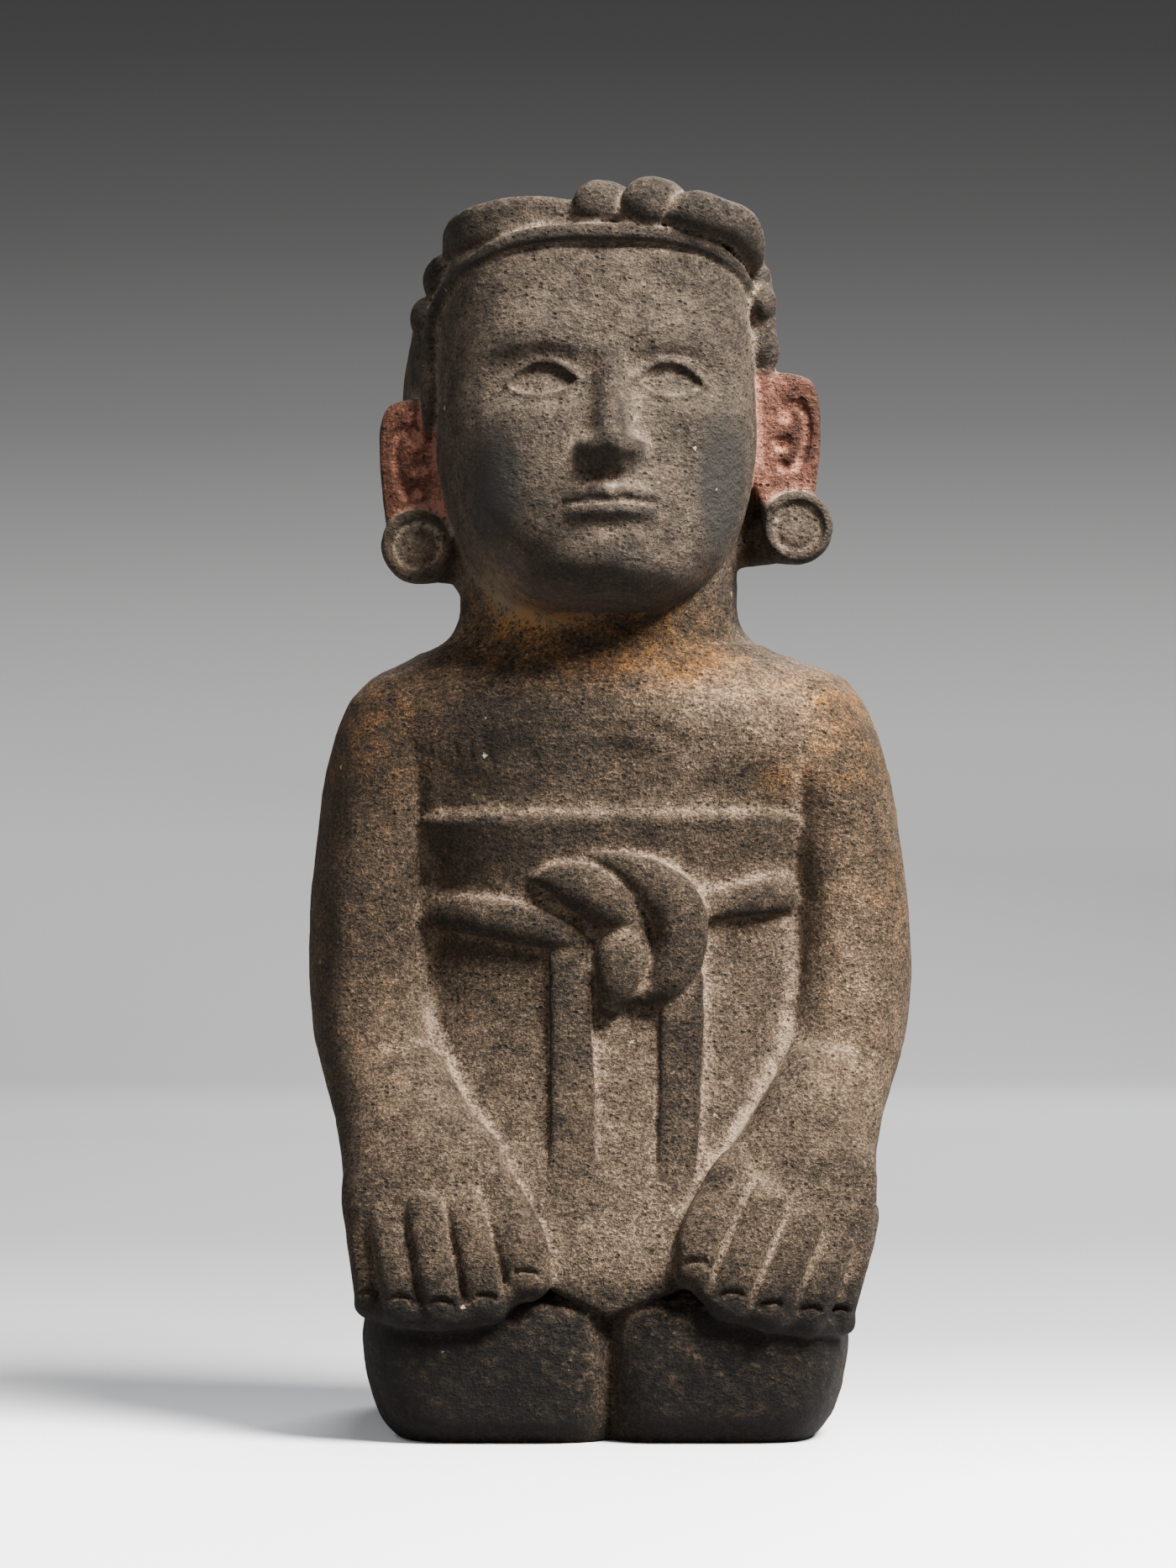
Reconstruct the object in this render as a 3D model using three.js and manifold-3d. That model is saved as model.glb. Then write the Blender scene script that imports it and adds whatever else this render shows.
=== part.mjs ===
// A kneeling woman carved from one block of dark volcanic stone, hands on her knees, with a knotted
// belt, a twisted headband and ear ornaments. Millimetres, +Z up, the face towards -Y, +X to the
// viewer's right. The origin is the middle of the underside.
import * as THREE from "three";
import { mergeVertices } from "three/addons/utils/BufferGeometryUtils.js";
import Module from "manifold-3d";

const wasm = await Module();
wasm.setup();

const { abs, cos, sin, sign, min, PI } = Math;
const LEFT = -1; // the viewer's left
const RIGHT = 1;
const FRONT = new THREE.Vector3(0, -1, 0);
const UP = new THREE.Vector3(0, 0, 1);

// Driving sizes
const HEADBAND_HEIGHT = 527; // middle of the rolled headband over the forehead
const WAIST_TOP = 271; // the straight upper edge of the waistband
const WAIST_FOOT = 243;
const APRON_POINT = 53; // lowest point of the skirt's front edge
const APRON_CORNER = 66; // where that edge passes under the thumbs
const KNEE_TOP = 66;
const CLEFT_X = -0.5; // the groove between the knees is a little off centre
const KNEE_OVERLAP = 6; // how far each folded leg runs past that groove
const SOLE_BACK = 121; // the soles of the feet behind
const NECK_HALF = 62.5;
const HEAD = { x: -8, y: -5, z: 440, tiltBack: 12, turn: 5 }; // place in mm, angles in degrees
const FINEST = 0.35; // edges and slivers smaller than this are merged
const EYE_WIDTH = 28; // one fifth of the face's width, the measure for the whole face
const BROW = 14; // thirds of the face, as heights in the head's own frame
const NOSE_BASE = -39;
const CHIN = -92;

// Shared ways of making a solid

function solid(geometry) {
  const bare = geometry.index ? geometry.toNonIndexed() : geometry.clone();
  bare.deleteAttribute("normal");
  bare.deleteAttribute("uv");
  const merged = mergeVertices(bare, 1e-3);
  const build = (triVerts) =>
    new wasm.Manifold(
      new wasm.Mesh({
        numProp: 3,
        vertProperties: new Float32Array(merged.attributes.position.array),
        triVerts,
      }),
    );
  const faces = new Uint32Array(merged.index.array);
  const made = build(faces);
  return made.volume() > 0 ? made : build(faces.reverse());
}

const joined = (solids) => solids.reduce((whole, piece) => whole.add(piece));

// A skin over a stack of rings, each the same number of points the same way round, closed at both
// ends by a fan to a pole.
function skinOf(rings, firstPole = middleOf(rings[0]), lastPole = middleOf(rings.at(-1))) {
  const around = rings[0].length;
  const points = [...rings.flat(), firstPole, lastPole];
  const [low, high] = [points.length - 2, points.length - 1];
  const top = (rings.length - 1) * around;
  const index = [];
  for (let i = 0; i < around; i++) {
    const next = (i + 1) % around;
    index.push(low, next, i, high, top + i, top + next);
    for (let j = 0; j < top; j += around) {
      index.push(j + i, j + next, j + around + next);
      index.push(j + i, j + around + next, j + around + i);
    }
  }
  return new THREE.BufferGeometry().setFromPoints(points).setIndex(index);
}

const middleOf = (ring) =>
  ring.reduce((sum, p) => sum.add(p), new THREE.Vector3()).divideScalar(ring.length);

// A smooth function through rows of [position, value, value, ...].
function smoothTable(rows) {
  const width = rows[0].length - 1;
  const cubic = new THREE.CubicInterpolant(
    rows.map((row) => row[0]),
    rows.flatMap((row) => row.slice(1)),
    width,
  );
  return (at) => [...cubic.evaluate(at)];
}

// Each gap between the rows' positions in so many equal steps.
function stepsBetween(rows, parts) {
  const steps = [rows[0][0]];
  for (let i = 1; i < rows.length; i++)
    for (let k = 1; k <= parts; k++)
      steps.push(THREE.MathUtils.lerp(rows[i - 1][0], rows[i][0], k / parts));
  return steps;
}

const signedPower = (value, power) => sign(value) * abs(value) ** power;

// A form stacked from level sections. Rows are [z, low x, high x, front y, back y, squareness], and
// a section is a superellipse: round at 2, almost a rectangle at 6.
function loft(rows, { sides = 28, parts = 2, place } = {}) {
  const sizes = smoothTable(rows);
  const rings = stepsBetween(rows, parts).map((z) => {
    const [lowX, highX, front, back, square] = sizes(z);
    return Array.from({ length: sides }, (_, i) => {
      const angle = ((i + 0.5) / sides) * 2 * PI;
      return new THREE.Vector3(
        (lowX + highX) / 2 + ((highX - lowX) / 2) * signedPower(cos(angle), 2 / square),
        (front + back) / 2 + ((back - front) / 2) * signedPower(sin(angle), 2 / square),
        z,
      );
    });
  });
  const skin = skinOf(rings);
  return solid(place ? skin.applyMatrix4(place) : skin);
}

// A round-ended form along a curve through stations [x, y, z, half width, half thickness]. Its
// thickness points along facing, as near as the curve lets it, and square is as in a section.
function limb(stations, { facing = FRONT, sides = 8, parts = 1, square = 2, place } = {}) {
  const spine = new THREE.CatmullRomCurve3(stations.map(([x, y, z]) => new THREE.Vector3(x, y, z)));
  const last = stations.length - 1;
  const sizes = smoothTable(stations.map((row, i) => [i / last, row[3], row[4]]));
  const ring = (t, shrink, shift) => {
    const [wide, thick] = sizes(t);
    const along = spine.getTangent(t);
    const across = new THREE.Vector3().crossVectors(facing, along).normalize();
    const out = new THREE.Vector3().crossVectors(along, across);
    const centre = spine.getPoint(t).addScaledVector(along, shift * min(wide, thick));
    return Array.from({ length: sides }, (_, i) => {
      const angle = (i / sides) * 2 * PI;
      return centre
        .clone()
        .addScaledVector(across, wide * shrink * signedPower(cos(angle), 2 / square))
        .addScaledVector(out, -thick * shrink * signedPower(sin(angle), 2 / square));
    });
  };
  const tip = 0.8; // how far along its bulge the end's only extra ring sits, as a share
  const round = (1 - tip * tip) ** 0.5;
  const body = Array.from({ length: last * parts + 1 }, (_, j) => ring(j / (last * parts), 1, 0));
  const rings = [ring(0, round, -tip), ...body, ring(1, round, tip)];
  const skin = skinOf(rings, middleOf(ring(0, 0, -1)), middleOf(ring(1, 0, 1)));
  return solid(place ? skin.applyMatrix4(place) : skin);
}

// A ball, squashed and turned.
function ball([x, y, z], [rx, ry, rz], { turn = 0, place, detail = 10 } = {}) {
  const shape = new THREE.SphereGeometry(1, detail, detail * 0.7);
  shape.scale(rx, ry, rz).rotateY(THREE.MathUtils.degToRad(turn)).translate(x, y, z);
  return solid(place ? shape.applyMatrix4(place) : shape);
}

// An upright slab with the outline given in x and z, from the depth y back by its thickness.
function slab(outline, y, thickness, bevel = 0) {
  const shape = new THREE.ExtrudeGeometry(outline, {
    depth: thickness - 2 * bevel,
    bevelEnabled: bevel > 0,
    bevelThickness: bevel,
    bevelSize: bevel,
    bevelOffset: -bevel,
    bevelSegments: 1,
    curveSegments: 4,
  });
  return solid(shape.rotateX(PI / 2).translate(0, y + thickness - bevel, 0));
}

const outlineOf = (points) => new THREE.Shape(points.map(([x, z]) => new THREE.Vector2(x, z)));

// The block of the body

// The trunk and skirt, without arms: [z, low x, high x, front y, back y, squareness]
const TRUNK = [
  [34, -98, 96, -92, 112, 4.4],
  [62, -101, 99, -103, 111, 3.8],
  [95, -100, 98, -97, 110, 3.2],
  [140, -97, 96, -81, 103, 3],
  [180, -95, 95, -71, 94, 2.8],
  [215, -94, 94, -68, 88, 2.7],
  [250, -94, 94, -69, 84, 2.9],
  [288, -101, 99, -73, 82, 3.7],
  [312, -102, 98, -71, 78, 3.6],
  [328, -92, 88, -62, 70, 3],
  [340, -74, 66, -52, 60, 2.4],
];
const trunkAt = smoothTable(TRUNK);

// How far forward the trunk's surface is at x and z.
function trunkFront(x, z) {
  const [lowX, highX, front, back, square] = trunkAt(z);
  const across = min(1, abs(x - (lowX + highX) / 2) / ((highX - lowX) / 2));
  return (front + back) / 2 - ((back - front) / 2) * (1 - across ** square) ** (1 / square);
}

const trunk = () => {
  const body = loft(TRUNK, { sides: 26, parts: 1 });
  const edge = slab(
    outlineOf([
      [-120, APRON_CORNER],
      [-26, APRON_CORNER],
      [-1, APRON_POINT],
      [29, APRON_CORNER],
      [120, APRON_CORNER],
      [120, 345],
      [-120, 345],
    ]),
    -130,
    260,
  );
  return body.intersect(edge);
};

// The neck, spreading into the shoulders.
const neck = () =>
  loft(
    [
      [316, 26, -74],
      [331, 17, -67],
      [340, 8, -60],
      [350, 2, -55],
      [368, 0, -52],
      [410, 0, -55],
    ].map(([z, spread, front]) => {
      const half = NECK_HALF + spread;
      return [z, -5 - half, -5 + half * 0.98, front, 58 + spread * 0.8, 2.3];
    }),
    { sides: 15, parts: 1 },
  );

// An arm from the shoulder down to the back of the hand, as [z, inner x, outer x, front y, back y].
const ARM_ROWS = {
  [LEFT]: [
    [80, 32, 113, -103, -76],
    [104, 34, 115.5, -103, -64],
    [120, 43, 116.5, -97, -42],
    [136, 54, 120, -87, -14],
    [152, 61, 125, -76, 18],
    [170, 68, 131, -67, 40],
    [190, 75, 133.6, -61, 46],
    [220, 77, 133.6, -59, 50],
    [257, 72, 130.5, -61, 52],
    [290, 66, 125, -65, 54],
    [308, 62, 120, -61, 52],
    [322, 58, 113, -52, 48],
    [331, 58, 102.5, -40, 42],
    [336, 62, 90, -28, 30],
  ],
  [RIGHT]: [
    [76, 36, 110.5, -103, -76],
    [104, 38, 114.5, -103, -64],
    [120, 45, 115.5, -97, -42],
    [136, 53, 118.5, -87, -14],
    [152, 62, 124, -76, 18],
    [170, 69, 130.5, -67, 40],
    [190, 74, 133.6, -61, 46],
    [220, 77, 133.2, -59, 50],
    [257, 72, 128.5, -61, 52],
    [290, 66, 122, -65, 54],
    [308, 62, 116.5, -61, 52],
    [322, 58, 109, -52, 48],
    [331, 58, 100, -40, 42],
    [336, 60, 86, -28, 30],
  ],
};

const arm = (side) =>
  loft(
    ARM_ROWS[side].map(([z, inner, outer, front, back]) =>
      side === LEFT ? [z, -outer, -inner, front, back, 2.6] : [z, inner, outer, front, back, 2.6],
    ),
    { sides: 14, parts: 1 },
  );

// A finger runs from the knuckle to the tip: [x, y, z] at each end, half width and half depth. The
// thumb, the palm and the stone joining the tips are stations [x, y, z, half width, half depth].
const HANDS = {
  [LEFT]: {
    fingers: [
      { knuckle: [-63.5, -95, 106], tip: [-52.5, -109, 58.5], wide: 9.4, deep: 10.8 },
      { knuckle: [-81, -95, 106], tip: [-71.3, -110, 56.5], wide: 9.4, deep: 10.8 },
      { knuckle: [-98, -89, 105], tip: [-88.7, -106, 57.5], wide: 9, deep: 10.8 },
      { knuckle: [-109, -78, 104], tip: [-102.6, -94, 59], wide: 7.4, deep: 12 },
    ],
    thumb: [
      [-58, -84, 124, 7, 5],
      [-44, -98, 95, 12.2, 11],
      [-35.3, -105.5, 68.5, 10, 10.5],
    ],
    tips: [
      [-31, -98, 71, 5, 9],
      [-53, -105, 59, 7, 10.5],
      [-89, -101, 57, 7, 10.5],
      [-102, -90, 59, 6.5, 10],
    ],
    palm: [
      [-91, -62, 150, 16, 10],
      [-84, -76, 130, 27, 18],
      [-77, -87, 106, 33, 12],
    ],
  },
  [RIGHT]: {
    fingers: [
      { knuckle: [69, -95, 108], tip: [49.5, -109, 60], wide: 10, deep: 10.8 },
      { knuckle: [85.5, -94, 101], tip: [66.5, -110.5, 56], wide: 9.2, deep: 10.8 },
      { knuckle: [101, -87, 97], tip: [83, -106, 53.5], wide: 9, deep: 10.8 },
      { knuckle: [108.5, -76, 93], tip: [96.5, -93, 52], wide: 7.2, deep: 12 },
    ],
    thumb: [
      [62, -84, 127, 7, 5],
      [44.5, -98, 99, 11.2, 11],
      [35.5, -105.5, 73, 8.6, 10],
    ],
    tips: [
      [31, -98, 76, 5, 9],
      [50, -105, 60.5, 7, 10.5],
      [82, -101, 53.5, 7, 10.5],
      [97, -90, 52, 6.5, 10],
    ],
    palm: [
      [93, -62, 150, 15, 10],
      [85, -76, 130, 26, 18],
      [82, -87, 108, 31, 12],
    ],
  },
};

const finger = ({ knuckle, tip, wide, deep }) => {
  const [kx, ky, kz] = knuckle;
  const [tx, ty, tz] = tip;
  const stations = [
    [kx, ky + 2, kz + 3, wide * 0.95, deep * 0.6],
    [(kx + tx) / 2, (ky + ty) / 2 - 1.5, (kz + tz) / 2, wide, deep],
    [tx, ty, tz, wide * 0.98, deep * 0.88],
  ];
  return limb(stations, { sides: 7 });
};

const hand = (side) => {
  const { fingers, thumb, tips, palm } = HANDS[side];
  return joined([
    ...fingers.map(finger),
    limb(thumb, { sides: 7 }),
    limb(tips, { sides: 5 }),
    limb(palm, { sides: 6 }),
  ]);
};

// One folded leg seen from the front as a broad rounded knee: [z, outer x, front y, back y]. The
// two run into each other and leave a groove between the knees.
const LEG_ROWS = [
  [0, 93, -98, 108],
  [4, 97.5, -103, 112.5],
  [14, 103, -108, 116.5],
  [32, 107.6, -110, 118.5],
  [48, 107.8, -107.5, 117],
  [60, 103, -99, 108],
  [KNEE_TOP, 95.5, -84.5, 96.5],
];

const leg = (side) => {
  const inner = CLEFT_X - side * KNEE_OVERLAP;
  const rows = LEG_ROWS.map(([z, outer, front, back]) =>
    side === LEFT
      ? [z, -outer, inner, front, back, 4.8]
      : [z, inner, outer - 4.3, front, back, 4.8],
  );
  return loft(rows, { sides: 22, parts: 1 });
};

// The thigh lies along the side, over the calf.
const thigh = (side) =>
  limb(
    [
      [side * 74, 82, 92, 24, 25],
      [side * 79, 20, 88, 26, 26],
      [side * 80, -50, 84, 26, 26],
    ],
    { facing: UP, sides: 7 },
  );

// The sole of a tucked foot shows behind: a heel, a hollow and a row of toes.
const foot = (side) =>
  joined([
    limb(
      [
        [side * 40 + 2, 104, 50, 19, 14],
        [side * 38 + 2, 101, 34, 17, 14],
        [side * 40 + 2, 104, 17, 23, 16],
      ],
      { facing: new THREE.Vector3(0, 1, 0), sides: 7 },
    ),
    ...[-2, -1, 0, 1, 2].map((n) =>
      ball([side * 40 + 2 + n * 9, 110, 7.5], [5.4, SOLE_BACK - 110, 7.5], { detail: 5 }),
    ),
  ]);

// What she wears

// The waistband stands proud of the trunk under a straight sloping edge.
const waistband = () => {
  const proud = 4.5;
  const rows = [
    [WAIST_FOOT, -0.3],
    [WAIST_TOP - 10, proud],
    [WAIST_TOP - 5, proud],
    [WAIST_TOP, 0.4],
  ].map(([z, out]) => {
    const [lowX, highX, front, back, square] = trunkAt(z);
    return [z, lowX - out, highX + out, front - out, back + out, square];
  });
  return loft(rows, { sides: 30, parts: 1 });
};

// A cord or strip lying on the trunk: stations [x, z, half width, half thickness, how far out].
const onTrunk = (stations, options = { sides: 7 }) =>
  limb(
    stations.map(([x, z, wide, thick, out]) => [
      x,
      trunkFront(x, z) - out,
      z,
      wide * 1.12,
      thick,
    ]),
    options,
  );

const belt = () =>
  joined([
    // the strand from the left, pointed like a leaf
    onTrunk([
      [-80, 226, 7.5, 5, -0.5],
      [-60, 225, 8, 6.8, 0.4],
      [-38, 221.5, 8.4, 7.5, 1],
      [-20, 216.5, 6, 6.5, 1.4],
      [-12, 213.5, 3, 4, 1],
    ]),
    // the strand to the right
    onTrunk([
      [40, 228.5, 6.5, 5, 0],
      [61, 233, 8, 7.2, 1],
      [86, 236, 9.2, 6.2, 0.5],
    ]),
    // the upper loop, slanting down into the knot
    onTrunk([
      [-32, 241, 3, 4, 0],
      [-23, 240.5, 7.8, 7.5, 1.5],
      [-11, 237, 10.8, 9.8, 2.5],
      [1, 230, 10.6, 10.2, 3],
      [10, 222.5, 6.5, 7, 2],
    ]),
    // the great curl round the knot
    onTrunk([
      [-6, 250.5, 3.2, 5, 0.5],
      [6, 246.5, 6.4, 8, 2],
      [18.5, 238.5, 9.8, 10.8, 3.5],
      [27.5, 228, 11.4, 12.2, 4],
      [29.5, 212, 11, 12, 4],
      [24, 198, 9, 10, 3],
      [15, 190.5, 4.6, 6, 1.5],
    ]),
    // the short end hanging in the middle
    onTrunk([
      [7, 215, 9.8, 8, 1.5],
      [4.5, 203, 11.4, 11.8, 3],
      [-0.5, 187, 6.2, 8.5, 1.5],
    ]),
    // the two long ends
    onTrunk(
      [
        [-17.5, 207, 9, 6, -0.6],
        [-17, 160, 9.2, 6, -0.8],
        [-16, 102, 9.4, 4.2, -4],
      ],
      { sides: 8, square: 3.5 },
    ),
    onTrunk(
      [
        [30.5, 198, 9, 6, -0.6],
        [30, 160, 9, 6, -0.8],
        [27.2, 102, 7.2, 4.2, -4],
      ],
      { sides: 8, square: 3.5 },
    ),
  ]);

// The head, made upright round its own origin and then tilted and turned

const headPlace = new THREE.Matrix4()
  .makeTranslation(HEAD.x, HEAD.y, HEAD.z)
  .multiply(new THREE.Matrix4().makeRotationZ(THREE.MathUtils.degToRad(HEAD.turn)))
  .multiply(new THREE.Matrix4().makeRotationX(-THREE.MathUtils.degToRad(HEAD.tiltBack)));
const onHead = { place: headPlace };

const skull = () =>
  loft(
    [
      [CHIN, -24, 24, -72, 14, 2.2],
      [CHIN + 5, -34, 34, -78, 26, 2.2],
      [CHIN + 17, -48, 48, -81, 40, 2.3],
      [CHIN + 36, -61, 61, -81, 56, 2.5],
      [-28, -69, 69, -80, 66, 2.6],
      [5, -71, 71, -80, 70, 2.6],
      [35, -70.5, 70.5, -81.5, 72, 2.7],
      [58, -67.5, 67.5, -81, 71, 2.8],
      [74, -58, 58, -70, 62, 2.6],
      [84, -38, 38, -50, 46, 2.2],
    ],
    { sides: 24, parts: 1, ...onHead },
  );

// Hollow almond eyes under plain brows, a straight nose and closed lips, all set out from
// EYE_WIDTH and the thirds of the face.
const mirrored = (make) => [LEFT, RIGHT].map(make);
const NOSE_HALF = EYE_WIDTH * 0.52;
const MOUTH_HALF = EYE_WIDTH * 0.8;
const MOUTH = NOSE_BASE + (CHIN - NOSE_BASE) / 3;
const EYE_LINE = BROW - EYE_WIDTH * 0.48;

const faceSunk = () => [
  ...mirrored((side) =>
    ball([side * EYE_WIDTH, -86, EYE_LINE + 2], [EYE_WIDTH * 0.76, 14, 12], { ...onHead, detail: 8 }),
  ),
  ...mirrored((side) =>
    ball([side * EYE_WIDTH * 1.02, -73, EYE_LINE], [EYE_WIDTH * 0.5, 7, 7.5], { ...onHead, detail: 8 }),
  ),
];

const faceRaised = () => [
  limb(
    [
      [0, -76, BROW + 1, 7, 5],
      [0, -81, (BROW + NOSE_BASE) / 2 + 2, 8, 8],
      [0, -87, NOSE_BASE + 8, 10.5, 9],
    ],
    { ...onHead, sides: 7 },
  ),
  ...mirrored((side) =>
    ball([side * (NOSE_HALF - 5), -82, NOSE_BASE + 6], [6, 8, 6], { ...onHead, detail: 5 }),
  ),
  ...[
    [MOUTH + 3.2, 3],
    [MOUTH - 3.6, 3.8],
  ].map(([z, thick]) =>
    limb(
      [
        [-MOUTH_HALF, -73, MOUTH, 1.5, 2],
        [0, -81, z, thick, 5.5],
        [MOUTH_HALF, -73, MOUTH, 1.5, 2],
      ],
      { ...onHead, sides: 5, parts: 2 },
    ),
  ),
  ball([0, -71, CHIN + 15], [24, 11, 14], { ...onHead, detail: 7 }),
];

// The hair lies close round the head, fuller than the face, and falls down the back.
const hair = () =>
  joined([
    loft(
      [
        [-71, -57, 57, -14, 66, 2.6],
        [-25, -80.5, 80.5, -28, 85, 3],
        [15, -82, 82, -31, 88, 3.2],
        [42, -79.5, 79.5, -32, 87, 3],
        [64, -71.5, 71.5, -38, 77, 2.6],
        [80, -52, 52, -42, 58, 2.2],
      ],
      { sides: 18, parts: 1, ...onHead },
    ),
    limb(
      [
        [-6, 66, 446, 60, 24],
        [-5, 62, 380, 57, 20],
        [-3, 72, 320, 55, 15],
        [0, 80, 258, 54, 12],
      ],
      { facing: new THREE.Vector3(0, 1, 0), sides: 10 },
    ),
  ]);

// A plain rim frames the face, and the rolled band lies over it.
const RIM_HALF = [
  [73, -19, -8, 3, 4.5],
  [72.8, -24, 25, 4, 5.5],
  [69.2, -32, 44.5, 4.2, 5.8],
  [54.5, -62, 57.2, 4.4, 6],
  [33.6, -77, 63, 4.5, 6],
  [0, -82, 64.4, 4.5, 6],
];
const rim = () =>
  limb([...RIM_HALF.map(([x, ...rest]) => [-x, ...rest]), ...RIM_HALF.slice(0, -1).reverse()], {
    sides: 6,
    ...onHead,
  });

const headband = () =>
  limb(
    [
      [-4, -60, HEADBAND_HEIGHT - 1, 8.4, 9.2],
      [-30, -59.5, HEADBAND_HEIGHT + 0.3, 8.8, 9.7],
      [-46, -54.5, HEADBAND_HEIGHT - 1, 9, 10.2],
      [-58, -45, HEADBAND_HEIGHT - 4, 9.3, 10.2],
      [-64, -28, HEADBAND_HEIGHT - 7.5, 9.5, 10.2],
      [-64.5, -8, HEADBAND_HEIGHT - 12.5, 9.5, 9.8],
      [-61, 16, HEADBAND_HEIGHT - 19, 9.7, 9.3],
      [-47, 40, HEADBAND_HEIGHT - 25.5, 9.7, 9.3],
      [-2, 60, HEADBAND_HEIGHT - 30, 9.7, 9.3],
      [41, 40, HEADBAND_HEIGHT - 25.5, 9.7, 9.3],
      [54, 16, HEADBAND_HEIGHT - 21, 9.7, 9.3],
      [57.5, -8, HEADBAND_HEIGHT - 17, 9.7, 9.3],
      [57, -24, HEADBAND_HEIGHT - 14, 9, 9],
    ],
    { facing: UP, square: 2.8 },
  );

// Three lobes of the twisted cloth rise over the forehead.
const twist = () =>
  joined([
    limb([
      [-11, -65, HEADBAND_HEIGHT + 1, 7.4, 7.5],
      [-8, -66.5, HEADBAND_HEIGHT + 5, 10, 10.4],
      [-1, -61, HEADBAND_HEIGHT + 6.6, 9.6, 9.8],
      [6, -48, HEADBAND_HEIGHT + 5, 6.5, 7],
    ]),
    limb([
      [9, -66, HEADBAND_HEIGHT + 1.5, 7.7, 7.5],
      [14, -67.5, HEADBAND_HEIGHT + 5.7, 11.2, 10.9],
      [22, -61, HEADBAND_HEIGHT + 7.5, 10.6, 9.8],
      [30, -47, HEADBAND_HEIGHT + 5, 6.5, 7],
    ]),
    limb([
      [27, -66, HEADBAND_HEIGHT + 2.5, 6.5, 7.5],
      [35, -66, HEADBAND_HEIGHT + 3, 9, 9.8],
      [46, -59, HEADBAND_HEIGHT + 0.5, 9.3, 10.3],
      [55.5, -48, HEADBAND_HEIGHT - 3.5, 10, 10.8],
      [58.5, -32, HEADBAND_HEIGHT - 11.5, 10, 10.2],
      [59, -16, HEADBAND_HEIGHT - 17, 8, 8],
    ]),
  ]);

// A braid runs down beside the right temple.
const braid = () =>
  limb(
    [
      [65, -20, 505, 6, 9],
      [67, -21, 486, 6.5, 9],
      [66, -18, 455, 5, 8],
    ],
    { sides: 5 },
  );

// Small knots stand out at the temples.
const templeKnots = () =>
  [
    [-80.5, -22, 486, 7.8],
    [-72.5, -16, 503, 10.3],
    [66.5, -26, 492.5, 7.3],
    [67, -22, 473, 7.8],
  ].map(([x, y, z, size]) => ball([x, y, z], [size, 10, size * 1.25], { detail: 6 }));

// The ear ornaments: an upright plate with the ear in relief, and a round disc under it

function earOrnament({ inner, outer, top, foot, disc, front }) {
  const side = sign(outer);
  const plateOutline = outlineOf([
    [inner, foot - 12],
    [outer - side * 6, foot - 12],
    [outer, foot + (top - foot) * 0.4],
    [outer - side * 0.5, top - 10],
    [outer - side * 8, top],
    [inner, top - 2],
  ]);
  const hollowOutline = outlineOf([
    [inner + side * 2, foot + 3],
    [outer - side * 8, foot + 3],
    [outer - side * 5.5, foot + (top - foot) * 0.4],
    [outer - side * 6, top - 12],
    [outer - side * 10, top - 7],
    [inner + side * 2, top - 7],
  ]);
  const plate = slab(plateOutline, front, 30, 2.5);
  const hollow = slab(hollowOutline, front - 1, 5);
  const midX = (inner + outer) / 2 - side * 2;
  const curl = limb(
    [
      [midX + side * 6, front + 3, top - 17, 2.6, 3],
      [midX - side * 2, front + 3, top - 12, 2.6, 3],
      [midX - side * 6, front + 3, top - 22, 2.6, 3],
      [midX - side * 1, front + 3, (top + foot) / 2 - 1, 2.6, 3],
      [midX + side * 1, front + 3, foot + 12, 2.6, 3],
    ],
    { sides: 4 },
  );
  const profile = [
    [0, 26],
    [disc.r - 2, 26],
    [disc.r, 22],
    [disc.r, 4],
    [disc.r * 0.93, 0.7],
    [disc.r * 0.78, 0],
    [disc.r * 0.64, 3],
    [disc.r * 0.5, 1.6],
    [0, 1.2],
  ].map(([r, y]) => new THREE.Vector2(r, y));
  const round = new THREE.LatheGeometry(profile, 13).translate(disc.x, front - 6, disc.z);
  return plate.subtract(hollow).add(curl).add(solid(round));
}

const EARS = [
  { inner: -68, outer: -101, top: 450, foot: 401, disc: { x: -84.5, z: 386, r: 16 }, front: -30 },
  { inner: 62, outer: 92, top: 462, foot: 408, disc: { x: 82, z: 394.5, r: 16 }, front: -24 },
];

// The whole figure

function figure() {
  const body = joined([
    leg(LEFT),
    leg(RIGHT),
    ...mirrored(thigh),
    ...mirrored(foot),
    trunk(),
    waistband(),
    belt(),
    ...mirrored(arm),
    ...mirrored(hand),
    neck(),
  ]);
  const head = joined([skull(), hair()]);
  const face = faceSunk().reduce((whole, piece) => whole.subtract(piece), head);
  const whole = joined([
    body,
    face,
    ...faceRaised(),
    rim(),
    headband(),
    twist(),
    braid(),
    ...templeKnots(),
    ...EARS.map(earOrnament),
  ]);
  // Slivers of air shut in between pieces are stone too.
  const bodies = whole.simplify(FINEST).decompose();
  return bodies.sort((a, b) => b.volume() - a.volume())[0];
}

function geometryOf(solidShape) {
  const { vertProperties, triVerts } = solidShape.getMesh();
  const geometry = new THREE.BufferGeometry();
  geometry.setAttribute("position", new THREE.BufferAttribute(vertProperties, 3));
  geometry.setIndex(new THREE.BufferAttribute(triVerts, 1));
  geometry.computeVertexNormals();
  return geometry;
}

const volcanicStone = new THREE.MeshStandardMaterial({
  color: new THREE.Color(0.075, 0.06, 0.047),
  roughness: 0.9,
  metalness: 0,
  flatShading: true,
});

const kneelingFigure = new THREE.Mesh(geometryOf(figure()), volcanicStone);
kneelingFigure.name = "kneeling_figure";

const group = new THREE.Group();
group.add(kneelingFigure);

export default group;
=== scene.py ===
import math

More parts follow.
